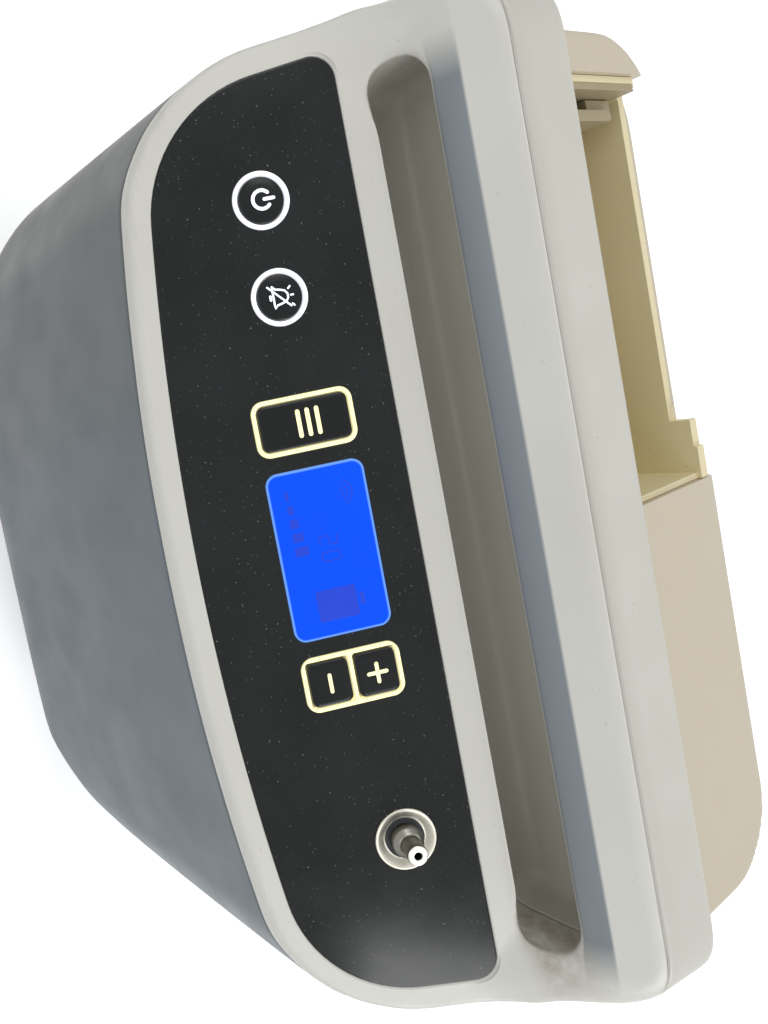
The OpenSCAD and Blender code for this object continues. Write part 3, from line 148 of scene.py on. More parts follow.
make_camera()
make_stage()
area_light("right", (2.1, -0.25, 1.7), (0, 0, 0.15), (0.9, 1.4), 25)
area_light("left", (-1.45, -0.3, 1.65), (0, 0, 0.15), (0.8, 1.4), 11)
area_light("back", (0.2, 1.1, 1.6), (0, 0, 0.15), (1.4, 0.8), 5)
area_light("front", (-0.2, -1.7, 1.0), (0, 0, 0.12), (1.2, 0.8), 3)
scene.view_settings.view_transform = "Standard"


# ---------------------------------------------------------------- materials
# The panel's tilt and place and the display's size, in millimetres, are used by materials too.
TILT = math.radians(27)
PANEL_Y, PANEL_Z = -37.6, 201.5
LCD_W, LCD_H, LCD_R = 48.4, 28.3, 3.4
GRAIN_DEEP = 0.0002


def srgb(code):
    """Linear colour of a six-digit sRGB code."""
    parts = [int(code[i:i + 2], 16) / 255 for i in (0, 2, 4)]
    return (*(v / 12.92 if v <= 0.04045 else ((v + 0.055) / 1.055) ** 2.4 for v in parts), 1.0)


class Mat:
    """A small helper that builds one procedural material."""

    def __init__(self, name):
        self.m = bpy.data.materials.new(name)
        self.m.use_nodes = True
        self.t = self.m.node_tree
        self.b = self.t.nodes["Principled BSDF"]
        self.coord = None

    def node(self, kind, **inputs):
        n = self.t.nodes.new("ShaderNode" + kind)
        for k, v in inputs.items():
            self.put(n, k, v)
        return n

    def put(self, n, key, v):
        if isinstance(v, bpy.types.NodeSocket):
            self.t.links.new(v, n.inputs[key])
        else:
            n.inputs[key].default_value = v

    def where(self):
        if self.coord is None:
            self.coord = self.t.nodes.new("ShaderNodeTexCoord").outputs["Object"]
        return self.coord

    def noise(self, scale, detail=2.0, rough=0.5):
        n = self.node("TexNoise", Scale=scale, Detail=detail, Roughness=rough)
        self.put(n, "Vector", self.where())
        return n.outputs["Fac"]

    def ramp(self, fac, *stops):
        n = self.t.nodes.new("ShaderNodeValToRGB")
        self.t.links.new(fac, n.inputs[0])
        for el, (p, c) in zip(n.color_ramp.elements, stops):
            el.position = p
            el.color = c if isinstance(c, tuple) else (c, c, c, 1)
        return n.outputs[0]

    def mix(self, fac, a, b):
        n = self.t.nodes.new("ShaderNodeMix")
        n.data_type = "RGBA"
        for i, v in ((0, fac), (6, a), (7, b)):
            self.put(n, i, v)
        return n.outputs[2]

    def math(self, op, a, b=0.0, clamp=False):
        n = self.t.nodes.new("ShaderNodeMath")
        n.operation = op
        n.use_clamp = clamp
        self.put(n, 0, a)
        self.put(n, 1, b)
        return n.outputs[0]

    def product(self, value, *others):
        for v in others:
            value = self.math("MULTIPLY", value, v)
        return value

    def xyz(self):
        n = self.t.nodes.new("ShaderNodeSeparateXYZ")
        self.t.links.new(self.where(), n.inputs[0])
        return n.outputs

    def between(self, v, lo, hi, soft):
        """1 where a coordinate lies between two places in metres, with soft ends."""
        up = self.math("MULTIPLY", self.math("SUBTRACT", v, lo - soft), 0.5 / soft, True)
        down = self.math("MULTIPLY", self.math("SUBTRACT", hi + soft, v), 0.5 / soft, True)
        return self.product(up, down)

    def bump(self, height, strength, distance):
        n = self.node("Bump", Height=height, Strength=strength, Distance=distance)
        self.t.links.new(n.outputs[0], self.b.inputs["Normal"])

    def set(self, key, v):
        self.put(self.b, key, v)

    def tint(self, fac, colour):
        """Blends another colour over the base colour."""
        now = self.b.inputs["Base Color"].links[0].from_socket
        self.set("Base Color", self.mix(fac, now, colour))


def plastic(name, colour, other, rough, grain, speck=None):
    """Moulded plastic: slow colour drift, a fine spark-eroded grain and a few specks."""
    m = Mat(name)
    drift = m.ramp(m.noise(14, 3.0, 0.6), (0.32, 0.0), (0.68, 1.0))
    col = m.mix(drift, srgb(colour), srgb(other))
    if speck:
        fine = m.noise(900, 2.0, 0.7)
        col = m.mix(m.ramp(fine, (0.70, 0.0), (0.78, 1.0)), col, srgb(speck))
    m.set("Base Color", col)
    worn = m.ramp(m.noise(60, 3.0), (0.3, rough - 0.07), (0.7, min(1.0, rough + 0.07)))
    m.set("Roughness", worn)
    m.bump(m.noise(1600, 2.0, 0.6), grain, GRAIN_DEEP)
    return m


def metal(name, colour, other, rough, brushed=0.0):
    """Bare metal with a slow drift of colour and a fine uneven finish."""
    m = Mat(name)
    m.set("Base Color", m.mix(m.noise(40, 3.0, 0.6), srgb(colour), srgb(other)))
    m.set("Metallic", 1.0)
    m.set("Roughness", m.ramp(m.noise(220, 3.0), (0.3, rough - 0.08), (0.7, rough + 0.1)))
    m.bump(m.noise(700, 3.0, 0.6), 0.06 + brushed, GRAIN_DEEP)
    return m


def glow(name, colour, edge, strength):
    """Lit plastic."""
    m = Mat(name)
    col = m.mix(m.noise(350, 2.0), srgb(colour), srgb(edge))
    m.set("Base Color", col)
    m.set("Emission Color", col)
    m.set("Emission Strength", strength)
    m.set("Roughness", 0.4)
    return m


def frame_material():
    """Cream, with painted shade and a painted blue reflection on the rail's upright face, and grimy
    in the right end of the finger pocket.
    """
    m = plastic("cream_front", "DDDBD3", "D6D4CB", 0.42, 0.14, "B9B5A9")
    x, y, z = m.xyz()
    # Painted shade: the rail's upright face is tinted a dark bluish grey, which is also a painted
    # reflection of the display's blue light.
    face = m.product(m.between(y, -0.004, 0.0036, 0.0003), m.between(z, 0.2325, 0.2402, 0.0003),
                     m.between(x, -0.124, 0.128, 0.006), 0.85)
    m.tint(face, srgb("6C7780"))
    grime = m.product(m.between(x, 0.118, 0.14, 0.008), m.between(z, 0.19, 0.232, 0.006),
                      m.ramp(m.noise(120, 4.0, 0.7), (0.35, 0.15), (0.7, 0.8)),
                      m.between(y, -0.007, 0.03, 0.002))
    m.tint(grime, srgb("94856F"))
    return m


def cover_material():
    """Grey of the front cover, with painted shade that makes it darker and warmer towards its left
    end.
    """
    m = plastic("cover_grey", "666E74", "626B71", 0.46, 0.16, "5D6468")
    # Painted shade: a darker, warmer grey blended in towards the left end.
    left = m.math("ADD", m.xyz()[0], 0.5)
    m.tint(m.ramp(left, (0.36, 0.6), (0.48, 0.0)), srgb("5A5546"))
    return m


def shell_material():
    """Cream of the rail, with painted shade that turns it warmer and darker on the bulge behind it.
    """
    m = plastic("cream_shell", "D1CFC5", "CBC8BD", 0.42, 0.14, "A9A293")
    # Painted shade: a warmer beige blended in on the bulge.
    behind = m.ramp(m.product(m.xyz()[1], 10.0), (0.311, 0.0), (0.345, 1.0))
    m.tint(behind, m.mix(m.noise(16, 3.0), srgb("CFC4AF"), srgb("C8BCA5")))
    return m


def outlet_material():
    """Dull turned metal with a painted highlight that makes its end face brighter than its shank.
    """
    m = metal("outlet_metal", "8B8A82", "77766F", 0.34, 0.03)
    _, y, z = m.xyz()
    # Painted highlight: a pale colour blended in on the parts that stand highest over the panel.
    rise = m.product(m.math("SUBTRACT", z, PANEL_Z * MM), math.cos(TILT))
    lean = m.product(m.math("SUBTRACT", y, PANEL_Y * MM), math.sin(TILT))
    over = m.product(m.math("SUBTRACT", rise, lean), 100.0)
    m.tint(m.ramp(over, (0.925, 0.0), (0.95, 1.0)), srgb("E2E0D6"))
    return m


def board_material():
    """Green circuit board with a net of tracks."""
    m = Mat("board_green")
    cell = m.node("TexVoronoi", Scale=260.0)
    cell.feature = "DISTANCE_TO_EDGE"
    m.put(cell, "Vector", m.where())
    lines = m.ramp(cell.outputs["Distance"], (0.02, 1.0), (0.06, 0.0))
    m.set("Base Color", m.mix(lines, srgb("2C6A44"), srgb("4E8F62")))
    m.set("Roughness", 0.4)
    m.bump(lines, 0.3, 0.0001)
    return m


def gloss_panel():
    """Black gloss plate with a film of dust specks."""
    m = Mat("panel_black")
    spots = m.ramp(m.noise(1500, 1.0, 0.5), (0.735, 0.0), (0.775, 1.0))
    soft = m.noise(30, 3.0, 0.6)
    film = m.ramp(soft, (0.35, srgb("111515")), (0.75, srgb("1C2221")))
    m.set("Base Color", m.mix(m.product(spots, 0.5), film, srgb("9AA0A2")))
    wiped = m.ramp(soft, (0.3, 0.10), (0.7, 0.17))
    m.set("Roughness", m.math("ADD", m.product(spots, 0.3), wiped, True))
    m.set("Specular IOR Level", 0.26)
    return m


def display_material():
    """Lit display: a plain blue with a thin paler rim."""
    m = Mat("display_blue")
    x, y, _ = m.xyz()
    up = m.math("DIVIDE", m.math("SUBTRACT", y, PANEL_Y * MM), math.cos(TILT))
    squares = []
    for along, size in ((x, LCD_W), (up, LCD_H)):
        past = m.math("SUBTRACT", m.math("ABSOLUTE", along), (size / 2 - LCD_R) * MM)
        squares.append(m.math("POWER", m.math("MAXIMUM", past, 0.0), 2.0))
    edge = m.math("SUBTRACT", LCD_R * MM, m.math("SQRT", m.math("ADD", *squares)))
    rim = m.ramp(m.product(edge, 400.0), (0.16, 1.0), (0.30, 0.0))
    col = m.mix(rim, m.mix(m.noise(45, 2.0), srgb("004CFA"), srgb("0056FF")), srgb("6FA4FF"))
    m.set("Base Color", m.mix(0.85, col, srgb("000A40")))
    m.set("Emission Color", col)
    m.set("Emission Strength", 0.92)
    m.set("Roughness", 0.2)
    m.set("Specular IOR Level", 0.12)
    return m


PLASTICS = {"base_grey": ("5D6469", "545B60", 0.55, 0.3),
            "rubber": ("35373A", "2C2E30", 0.8, 0.4),
            "cover_rubber": ("B9B2A6", "B0A99C", 0.72, 0.3),
            "silicone": ("DCE0E1", "D2D8DA", 0.4, 0.05),
            # The liner's khaki is painted lighter than its own colour, as painted light for the
            # shade inside the bay.
            "khaki": ("EFE3BC", "E8DBB0", 0.55, 0.22, "A89A74"),
            "khaki_guide": ("A99B7C", "9E9072", 0.55, 0.22, "83775C"),
            "black_part": ("27292B", "1F2123", 0.5, 0.25),
            "module_white": ("D2D5D8", "C4C8CC", 0.4, 0.1),
            "filter_plastic": ("E2E4E4", "D8DBDB", 0.4, 0.1),
            "foam": ("4C4F52", "3F4245", 0.95, 0.9),
            "key_black": ("121415", "191B1C", 0.26, 0.05, "303334")}
METALS = {"steel": ("B9BDC0", "A9AEB2", 0.32),
          "brass": ("C79F4A", "B48B3A", 0.35),
          "aluminium": ("B5B9BC", "A4A9AD", 0.42, 0.05),
          "copper": ("C57F52", "A9663C", 0.35),
          "outlet_dish": ("D9D6CB", "C9C6BA", 0.5, 0.03)}
LIT = {"light_white": ("FBFCFF", "E9F0FF", 0.75),
       "light_yellow": ("FFF8C8", "F5E9A0", 0.7),
       "display_mark": ("0030B4", "0038C0", 0.5)}
MATS = {"cream_front": frame_material(), "cover_grey": cover_material(),
        "cream_shell": shell_material(), "outlet_metal": outlet_material(),
        "board": board_material(), "panel_black": gloss_panel(), "display": display_material()}
for make, table in ((plastic, PLASTICS), (metal, METALS), (glow, LIT)):
    for key, look in table.items():
        MATS[key] = make(key, *look)
MATS["key_black"].set("Specular IOR Level", 0.22)


def material(key):
    return MATS[key].m


LOOK_NODES = {
    "aluminium": "chassis compressor_housing compressor_heads sieve_beds product_tank",
    "base_grey": "base_pan exhaust_grille",
    "black_part": "buzzer battery_connector bed_caps valve_manifold solenoid_valves "
                  "intake_muffler fan_frame fan_impeller dc_jack",
    "board": "display_board main_board",
    "brass": "cart_insert",
    "copper": "heat_exchanger",
    "cover_grey": "front_cover",
    "cover_rubber": "dc_cover",
    "cream_front": "top_frame",
    "cream_shell": "intake_grille rear_shell",
    "display": "lcd_window",
    "filter_plastic": "product_filter",
    "foam": "intake_foam",
    "key_black": "power_button alarm_button mode_button plus_button minus_button",
    "khaki": "battery_bay",
    "khaki_guide": "bay_guide bay_latch",
    "light_white": "power_light_ring alarm_light_ring",
    "light_yellow": "mode_light_frame level_light_frame",
    "module_white": "lcd_module",
    "outlet_metal": "outlet_cup outlet_barb",
    "panel_black": "control_fascia",
    "rubber": "feet outlet_seal isolators",
    "silicone": "outlet_tube",
    "steel": "base_screws board_screws key_domes outlet_nut latch_spring compressor_rotor dc_nut"}
for look, names in LOOK_NODES.items():
    for name in names.split():
        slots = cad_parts[name].data.materials
        if not slots:
            slots.append(material(look))
        for i in range(len(slots)):
            slots[i] = material(look)

# ---------------------------------------------------------------- the shells' form, in mm
HALF_W, FRONT, BACK, TOP, FOOT = 146.0, -77.0, 77.0, 254.0, 6.0
SEAM, RAIL, RAIL_REAR, LIP = 11.4, 2.1, 31.2, -8.0
EDGE_Z, CEILING_Z, CROWN = 239.9, 233.3, 2.9
BULGE_W, BULGE_Z = 127.5, 249.0
CORNER_R, EASE, WALL, FAR = 46.0, 1.5, 2.6, 600.0


def panel_at(y):
    return PANEL_Z + (y - PANEL_Y) * math.tan(TILT)


def over_panel(y, z):
    return (z - panel_at(y)) * math.cos(TILT)


def rounded(points, radii):
    """Segments and arcs of a closed outline that runs anticlockwise, with its corners rounded."""
    n = len(points)
    pts = [np.array(p, float) for p in points]
    cuts, arcs = [], []
    for i in range(n):
        a, b, c, r = pts[i - 1], pts[i], pts[(i + 1) % n], radii[i]
        d1, d2 = (b - a) / np.linalg.norm(b - a), (c - b) / np.linalg.norm(c - b)
        turn = math.atan2(d1[0] * d2[1] - d1[1] * d2[0], d1 @ d2)
        if r < 0.05 or abs(turn) < 0.01:
            cuts.append((b, b))
            continue
        reach = r * math.tan(abs(turn) / 2)
        start, end, side = b - d1 * reach, b + d2 * reach, math.copysign(1, turn)
        centre = start + side * r * np.array([-d1[1], d1[0]])
        arcs.append(("arc", *centre, r, math.atan2(*(start - centre)[::-1]), turn, side))
        cuts.append((start, end))
    lines = [("line", *cuts[i][1], *cuts[(i + 1) % n][0]) for i in range(n)]
    return lines + arcs


def signed(prims, x, y):
    """Signed distance to an outline of segments and arcs, negative inside."""
    best = np.full(x.shape, 1e9)
    out = np.full(x.shape, 1e9)
    for p in prims:
        if p[0] == "line":
            _, ax, ay, bx, by = p
            dx, dy = bx - ax, by - ay
            length = math.hypot(dx, dy)
            if length < 1e-6:
                continue
            ux, uy = dx / length, dy / length
            t = np.clip((x - ax) * ux + (y - ay) * uy, 0, length)
            qx, qy = x - ax - t * ux, y - ay - t * uy
            d = np.hypot(qx, qy)
            s = np.where(qx * uy - qy * ux >= 0, d, -d)
        else:
            _, cx, cy, r, a0, turn, side = p
            px, py = x - cx, y - cy
            swing = (np.arctan2(py, px) - a0) * side % (2 * math.pi)
            s = side * (np.hypot(px, py) - r)
            d = np.where(swing <= abs(turn) + 1e-6, np.abs(s), 1e9)
        near = d < best
        best = np.where(near, d, best)
        out = np.where(near, s, out)
    return out


def corner(u, v, r):
    """Signed distance to the region u < 0, v < 0 with its corner rounded."""
    a, b = u + r, v + r
    return np.where((a > 0) & (b > 0), np.hypot(a, b), np.maximum(a, b)) - r


def smax(a, b, k):
    h = np.clip(0.5 + 0.5 * (a - b) / k, 0, 1)
    return b + (a - b) * h + k * h * (1 - h)


def smin(a, b, k):
    return -smax(-a, -b, k)


def step(x, a, b):
    t = np.clip((x - a) / (b - a), 0, 1)
    return t * t * (3 - 2 * t)


def touch(c1, r1, c2, r2):
    """Angle at which a common tangent touches two circles."""
    d = np.subtract(c2, c1)
    return math.atan2(d[1], d[0]) - math.acos((r1 - r2) / np.hypot(*d))


def plan_outline():
    """Right half of the front part's outline from above, and the centre of its corner."""
    bow_r, side_r, rear_r = 820.0, 28.0, 7.0
    cx = HALF_W - 5.5 - CORNER_R
    bow_c = (0.0, FRONT + bow_r)
    corner_c = (cx, bow_c[1] - math.sqrt((bow_r - CORNER_R) ** 2 - cx * cx))
    side_c = (HALF_W - side_r, FRONT + 87.2)
    rear_c = (HALF_W - 3.5 - rear_r, RAIL_REAR - rear_r)
    a0 = math.atan2(corner_c[1] - bow_c[1], corner_c[0])
    a1 = touch(corner_c, CORNER_R, side_c, side_r)
    a2 = touch(side_c, side_r, rear_c, rear_r)

    def on(c, r, a):
        return (c[0] + r * math.cos(a), c[1] + r * math.sin(a))
    return [("arc", *bow_c, bow_r, -math.pi / 2 - 0.3, a0 + math.pi / 2 + 0.3, 1),
            ("arc", *corner_c, CORNER_R, a0, a1 - a0, 1),
            ("line", *on(corner_c, CORNER_R, a1), *on(side_c, side_r, a1)),
            ("arc", *side_c, side_r, a1, a2 - a1, 1),
            ("line", *on(side_c, side_r, a2), *on(rear_c, rear_r, a2)),
            ("arc", *rear_c, rear_r, a2, math.pi / 2 - a2, 1),
            ("line", rear_c[0], RAIL_REAR, -200.0, RAIL_REAR)], corner_c


PLAN, CORNER_C = plan_outline()
SIDE = rounded([(FRONT - EASE, FOOT), (RAIL_REAR + EASE, FOOT), (RAIL_REAR + EASE, FAR),
                (FRONT - EASE, FAR)], [57, 10, 9, 9])
SLOPE = (RAIL - (LIP + 1), EDGE_Z - panel_at(LIP + 1))
RAIL_TOP = rounded([(RAIL_REAR, 0), (RAIL_REAR, TOP), (SEAM, TOP - CROWN), (RAIL, EDGE_Z),
                    (RAIL - 4 * SLOPE[0], EDGE_Z - 4 * SLOPE[1]), (RAIL - 4 * SLOPE[0], 0)],
                   [0, 3.4, 14, 2.5, 0, 0])
CORNERS = []
for turn_deg, draft, low_r in ((32, 3, 78), (58, 6, 66)):
    ca, sa = math.cos(math.radians(turn_deg)), math.sin(math.radians(turn_deg))
    reach = CORNER_C[0] * ca - CORNER_C[1] * sa + CORNER_R
    CORNERS.append((ca, sa, rounded(
        [(-FAR, FOOT - EASE), (reach - draft, FOOT - EASE), (reach + EASE, 200),
         (reach + EASE, FAR), (-FAR, FAR)], [0, low_r + EASE, 900, 0, 0])))
POCKET_X, POCKET_BACK, POCKET_Z = 132.0, RAIL_REAR - 3.6, panel_at(LIP) - 20
POCKET = rounded([(LIP, panel_at(LIP)), (LIP + 13, POCKET_Z + 5), (LIP + 26, POCKET_Z),
                  (POCKET_BACK, POCKET_Z + 4), (POCKET_BACK, CEILING_Z - 4),
                  (POCKET_BACK - 5, CEILING_Z), (RAIL, CEILING_Z), (RAIL, FAR), (LIP, FAR)],
                 [2.5, 14, 10, 5, 4, 4, 0, 0, 0])


def shoulder(x, y, z, y0, z0, slope, r):
    """Field that rounds the rail's end where its top slopes up from y0, z0."""
    up = -(y - y0) * math.sin(slope) + (z - z0) * math.cos(slope)
    return corner(x - HALF_W - EASE, up - EASE, r + EASE)


def body(x, y, z):
    """Field of the outer form of the shells, negative inside. Level -WALL is their inner side."""
    x = np.abs(x)
    sides = smax(signed(PLAN, x, y), corner(x - HALF_W - EASE, FOOT - EASE - z, 54), 3)
    low = [signed(prims, x * ca - y * sa, z) for ca, sa, prims in CORNERS]
    sides = smax(sides, smax(low[0], low[1], 4), 3)
    sides = smax(sides, signed(SIDE, y, z), 3)
    up = smin(over_panel(y, z), signed(RAIL_TOP, y, z), 2 + 12 * step(x, 122, 138))
    main = smax(sides, up, 1.8)
    rear = shoulder(x, y, z, RAIL_REAR, TOP, math.atan(CROWN / (RAIL_REAR - SEAM)), 26)
    front = shoulder(x, y, z, RAIL, EDGE_Z, math.atan((TOP - CROWN - EDGE_Z) / (SEAM - RAIL)), 18)
    main = smax(smax(main, rear, 3), smin(front, y - LIP, 8), 3)
    bulge = smax(corner(x - BULGE_W, y - BACK, 26), 16.4 - y, 1)
    bulge = smax(bulge, corner(y - BACK - EASE, z - BULGE_Z, 4), 2)
    bulge = smax(bulge, corner(y - BACK - EASE, FOOT - z, 25), 3)
    bulge = smax(bulge, corner(x - BULGE_W - EASE, z - BULGE_Z - EASE, 5), 2)
    bulge = smax(bulge, corner(x - BULGE_W - EASE, FOOT - EASE - z, 37), 3)
    whole = smin(main, bulge, 1.5)
    ends = smax(corner(x - POCKET_X, LIP - y, 12), corner(x - POCKET_X, y - POCKET_BACK, 8), 4)
    rim = smin(corner(x - POCKET_X, z - CEILING_Z, 14), corner(x - 130, y - RAIL, 12), 2)
    pocket = smax(smax(signed(POCKET, y, z), ends, 7), rim, 7)
    return smax(whole, -pocket, 1.2 + 1.8 * step(x, 108, 122))


def axis_steps(*spans):
    """Grid lines over several spans, each given as (start, end, spacing)."""
    out = [spans[0][0]]
    for a, b, s in spans:
        out += list(np.linspace(a, b, int(round((b - a) / s)) + 1)[1:])
    return np.array(out)


def surface_net(xs, ys, zs, f):
    """Vertices and quads of the zero level of f on a grid."""
    neg = f < 0
    nx, ny, nz = f.shape
    total = np.zeros((nx - 1, ny - 1, nz - 1, 3))
    count = np.zeros((nx - 1, ny - 1, nz - 1))
    axes = (xs, ys, zs)
    for ax in range(3):
        lo = [slice(None)] * 3
        hi = [slice(None)] * 3
        lo[ax], hi[ax] = slice(0, -1), slice(1, None)
        a, b = f[tuple(lo)], f[tuple(hi)]
        cross = neg[tuple(lo)] != neg[tuple(hi)]
        idx = np.nonzero(cross)
        t = a[idx] / (a[idx] - b[idx])
        p = np.stack([axes[i][idx[i]] for i in range(3)], 1).astype(float)
        p[:, ax] = axes[ax][idx[ax]] * (1 - t) + axes[ax][idx[ax] + 1] * t
        others = [i for i in range(3) if i != ax]
        for da in (0, -1):
            for db in (0, -1):
                cell = [i.copy() for i in idx]
                cell[others[0]] += da
                cell[others[1]] += db
                ok = np.ones(len(t), bool)
                for i in range(3):
                    ok &= (cell[i] >= 0) & (cell[i] < total.shape[i])
                c = tuple(v[ok] for v in cell)
                np.add.at(total, c, p[ok])
                np.add.at(count, c, 1)
    used = count > 0
    number = np.full(used.shape, -1)
    number[used] = np.arange(used.sum())
    verts = total[used] / count[used][:, None]
    quads = []
    for ax in range(3):
        lo = [slice(1, -1)] * 3
        hi = [slice(1, -1)] * 3
        lo[ax], hi[ax] = slice(0, -1), slice(1, None)
        cross = neg[tuple(lo)] != neg[tuple(hi)]
        idx = list(np.nonzero(cross))
        for i in range(3):
            if i != ax:
                idx[i] = idx[i] + 1
        flip = ~neg[tuple(idx)]
        u, v = [(1, 2), (2, 0), (0, 1)][ax]
        ring = []
        for du, dv in ((-1, -1), (0, -1), (0, 0), (-1, 0)):
            c = [i.copy() for i in idx]
            c[u] += du
            c[v] += dv
            ring.append(number[tuple(c)])
        q = np.stack(ring, 1)
        q[flip] = q[flip][:, ::-1]
        quads.append(q)
    return verts, np.concatenate(quads)


def slope_of(f, v):
    """Gradient of a field at some points."""
    h = 0.02
    g = np.empty_like(v)
    for i in range(3):
        a, b = v.copy(), v.copy()
        a[:, i] -= h
        b[:, i] += h
        g[:, i] = (f(*b.T) - f(*a.T)) / (2 * h)
    return g


def settle(f, v, rounds):
    """Moves points onto the zero level of f."""
    for _ in range(rounds):
        d = f(*v.T)
        g = slope_of(f, v)
        s = d / np.maximum((g * g).sum(1), 0.05)
        v = v - np.clip(s, -1.5, 1.5)[:, None] * g
    return v


# ---------------------------------------------------------------- the shells' meshes
def form_mesh(*levels):
    """Surfaces of the body's field at several levels, as (vertices, quads)."""
    half = axis_steps((0, 111, 3), (111, 149, 1))
    xs = np.concatenate([-half[:0:-1], half])
    ys = axis_steps((-79, -15, 2), (-15, 43, 1), (43, 81, 2))
    zs = axis_steps((3, 12, 1.5), (12, 192, 3), (192, 257, 1))
    gy, gz = np.meshgrid(ys, zs, indexing="ij")
    f = np.stack([body(np.full(gy.shape, x), gy, gz) for x in half])
    f = np.concatenate([f[:0:-1], f])
    out = []
    for level in levels:
        v, q = surface_net(xs, ys, zs, f - level)
        rounds = 3 if level == 0 else 1
        out.append((settle(lambda x, y, z: body(x, y, z) - level, v, rounds), q))
    return out


def to_object(name, verts, faces):
    me = bpy.data.meshes.new(name)
    me.from_pydata([tuple(p) for p in verts], [], [tuple(int(i) for i in f) for f in faces])
    me.update()
    return add_object(name, me)


def mesh_object(name, bm):
    me = bpy.data.meshes.new(name)
    bm.to_mesh(me)
    bm.free()
    return add_object(name, me)


def cut_loops(bm, planes):
    """Adds loops of edges where planes cross the mesh."""
    for at, normal in planes:
        geom = bm.verts[:] + bm.edges[:] + bm.faces[:]
        bmesh.ops.bisect_plane(bm, geom=geom, dist=1e-5, plane_co=at, plane_no=normal)


def groove(bm, distance, deep):
    """Sinks the body's surface where distance(x, y, z) from a seam's middle is small."""
    v = np.array([p.co for p in bm.verts], float)
    d = np.abs(distance(*v.T))
    pick = np.nonzero(d < SEAM_HALF)[0]
    n = slope_of(body, v[pick])
    n /= np.maximum(np.linalg.norm(n, axis=1), 1e-6)[:, None]
    t = 1 - d[pick] / SEAM_HALF
    sink = deep * (1 - np.sqrt(np.clip(1 - t * t, 0, 1)))
    bm.verts.ensure_lookup_table()
    for i, move in zip(pick, n * sink[:, None]):
        bm.verts[i].co -= Vector(move)


PANEL_N = np.array([0, -math.sin(TILT), math.cos(TILT)])
PANEL_UP = np.array([0, math.cos(TILT), math.sin(TILT)])
PANEL_O = np.array([0, PANEL_Y, PANEL_Z])
RING_W, BASE_Z, GAP, SEAM_HALF = -3.35, 13.15, 0.15, 0.9
PLATE_TOP, PLATE_BACK, LEDGE_W = -0.15, -1.75, -3.95


def on_panel(u, v, w):
    return PANEL_O + np.array([1, 0, 0]) * u + PANEL_UP * v + PANEL_N * w


def plain(u, v, w):
    return (u, v, w)


def prism(name, outline, levels, place=plain):
    """A closed prism through one outline: levels is a list of (height, outward offset)."""
    pts = np.array(outline, float)
    nxt, prv = np.roll(pts, -1, 0), np.roll(pts, 1, 0)
    d = nxt - prv
    nrm = np.stack([d[:, 1], -d[:, 0]], 1) / np.maximum(np.hypot(*d.T), 1e-9)[:, None]
    bm = bmesh.new()
    rings = []
    for h, grow in levels:
        rings.append([bm.verts.new(tuple(place(u, v, h))) for u, v in pts + nrm * grow])
    n = len(pts)
    for a, b in zip(rings, rings[1:]):
        for i in range(n):
            j = (i + 1) % n
            bm.faces.new((a[i], a[j], b[j], b[i]))
    bm.faces.new(rings[0][::-1])
    bm.faces.new(rings[-1])
    bmesh.ops.recalc_face_normals(bm, faces=bm.faces)
    return mesh_object(name, bm)


def arc_points(cx, cy, r, a0, a1, n):
    turns = [a0 + (a1 - a0) * i / n for i in range(n + 1)]
    return [(cx + r * math.cos(a), cy + r * math.sin(a)) for a in turns]


def round_rect(w, h, r, cx=0.0, cy=0.0, n=8):
    out = []
    for sx, sy, a in ((1, 1, 0), (-1, 1, 90), (-1, -1, 180), (1, -1, 270)):
        out += arc_points(cx + sx * (w / 2 - r), cy + sy * (h / 2 - r), r,
                          math.radians(a), math.radians(a + 90), n)
    return out


def lathe(name, profile, place, at, n, closed=False):
    """A turned form: profile is a list of (radius, height)."""
    bm = bmesh.new()
    rings = []
    for r, h in profile:
        if r < 1e-6:
            rings.append([bm.verts.new(tuple(place(at[0], at[1], h)))])
        else:
            turns = [2 * math.pi * i / n for i in range(n)]
            rings.append([bm.verts.new(tuple(place(at[0] + r * math.cos(a),
                                                   at[1] + r * math.sin(a), h))) for a in turns])
    pairs = list(zip(rings, rings[1:]))
    if closed:
        pairs.append((rings[-1], rings[0]))
    for a, b in pairs:
        for i in range(n):
            j = (i + 1) % n
            if len(a) == 1:
                bm.faces.new((a[0], b[j], b[i]))
            elif len(b) == 1:
                bm.faces.new((a[i], a[j], b[0]))
            else:
                bm.faces.new((a[i], a[j], b[j], b[i]))
    bmesh.ops.recalc_face_normals(bm, faces=bm.faces)
    return mesh_object(name, bm)


AIR_X, INLET_X = 71.0, 26.0
BAY_X0, BAY_X1 = -115.6, 4.6
ZONE_X, ZONE_Y, ZONE_Z = 138.5, -14, 182
SQUARE = ((-1, -1), (1, -1), (1, 1), (-1, 1))


def box_cutter(x0, x1, y0, y1, z0, z1):
    return prism("cutter", [(x0, y0), (x1, y0), (x1, y1), (x0, y1)], [(z0, 0), (z1, 0)])


def along_y(outline, levels):
    """A prism whose outline lies in X and Z and whose levels run along Y."""
    return prism("cutter", outline, levels, lambda u, v, w: (u, w, v))


def apply_modifiers(ob):
    old, dg = ob.data, bpy.context.evaluated_depsgraph_get()
    ob.data = bpy.data.meshes.new_from_object(ob.evaluated_get(dg))
    ob.modifiers.clear()
    bpy.data.meshes.remove(old)


def boolean(ob, other, kind):
    m = ob.modifiers.new("b", "BOOLEAN")
    m.operation = kind
    m.solver = "MANIFOLD"
    m.object = other
    apply_modifiers(ob)


def cut(ob, *others):
    for o in others:
        boolean(ob, o, "DIFFERENCE")


def join(ob, *others):
    for o in others:
        boolean(ob, o, "UNION")


def drop(*obs):
    for o in obs:
        me = o.data
        bpy.data.objects.remove(o)
        bpy.data.meshes.remove(me)


def copy_of(ob, name):
    c = ob.copy()
    c.data = ob.data.copy()
    c.name = name
    scene.collection.objects.link(c)
    return c


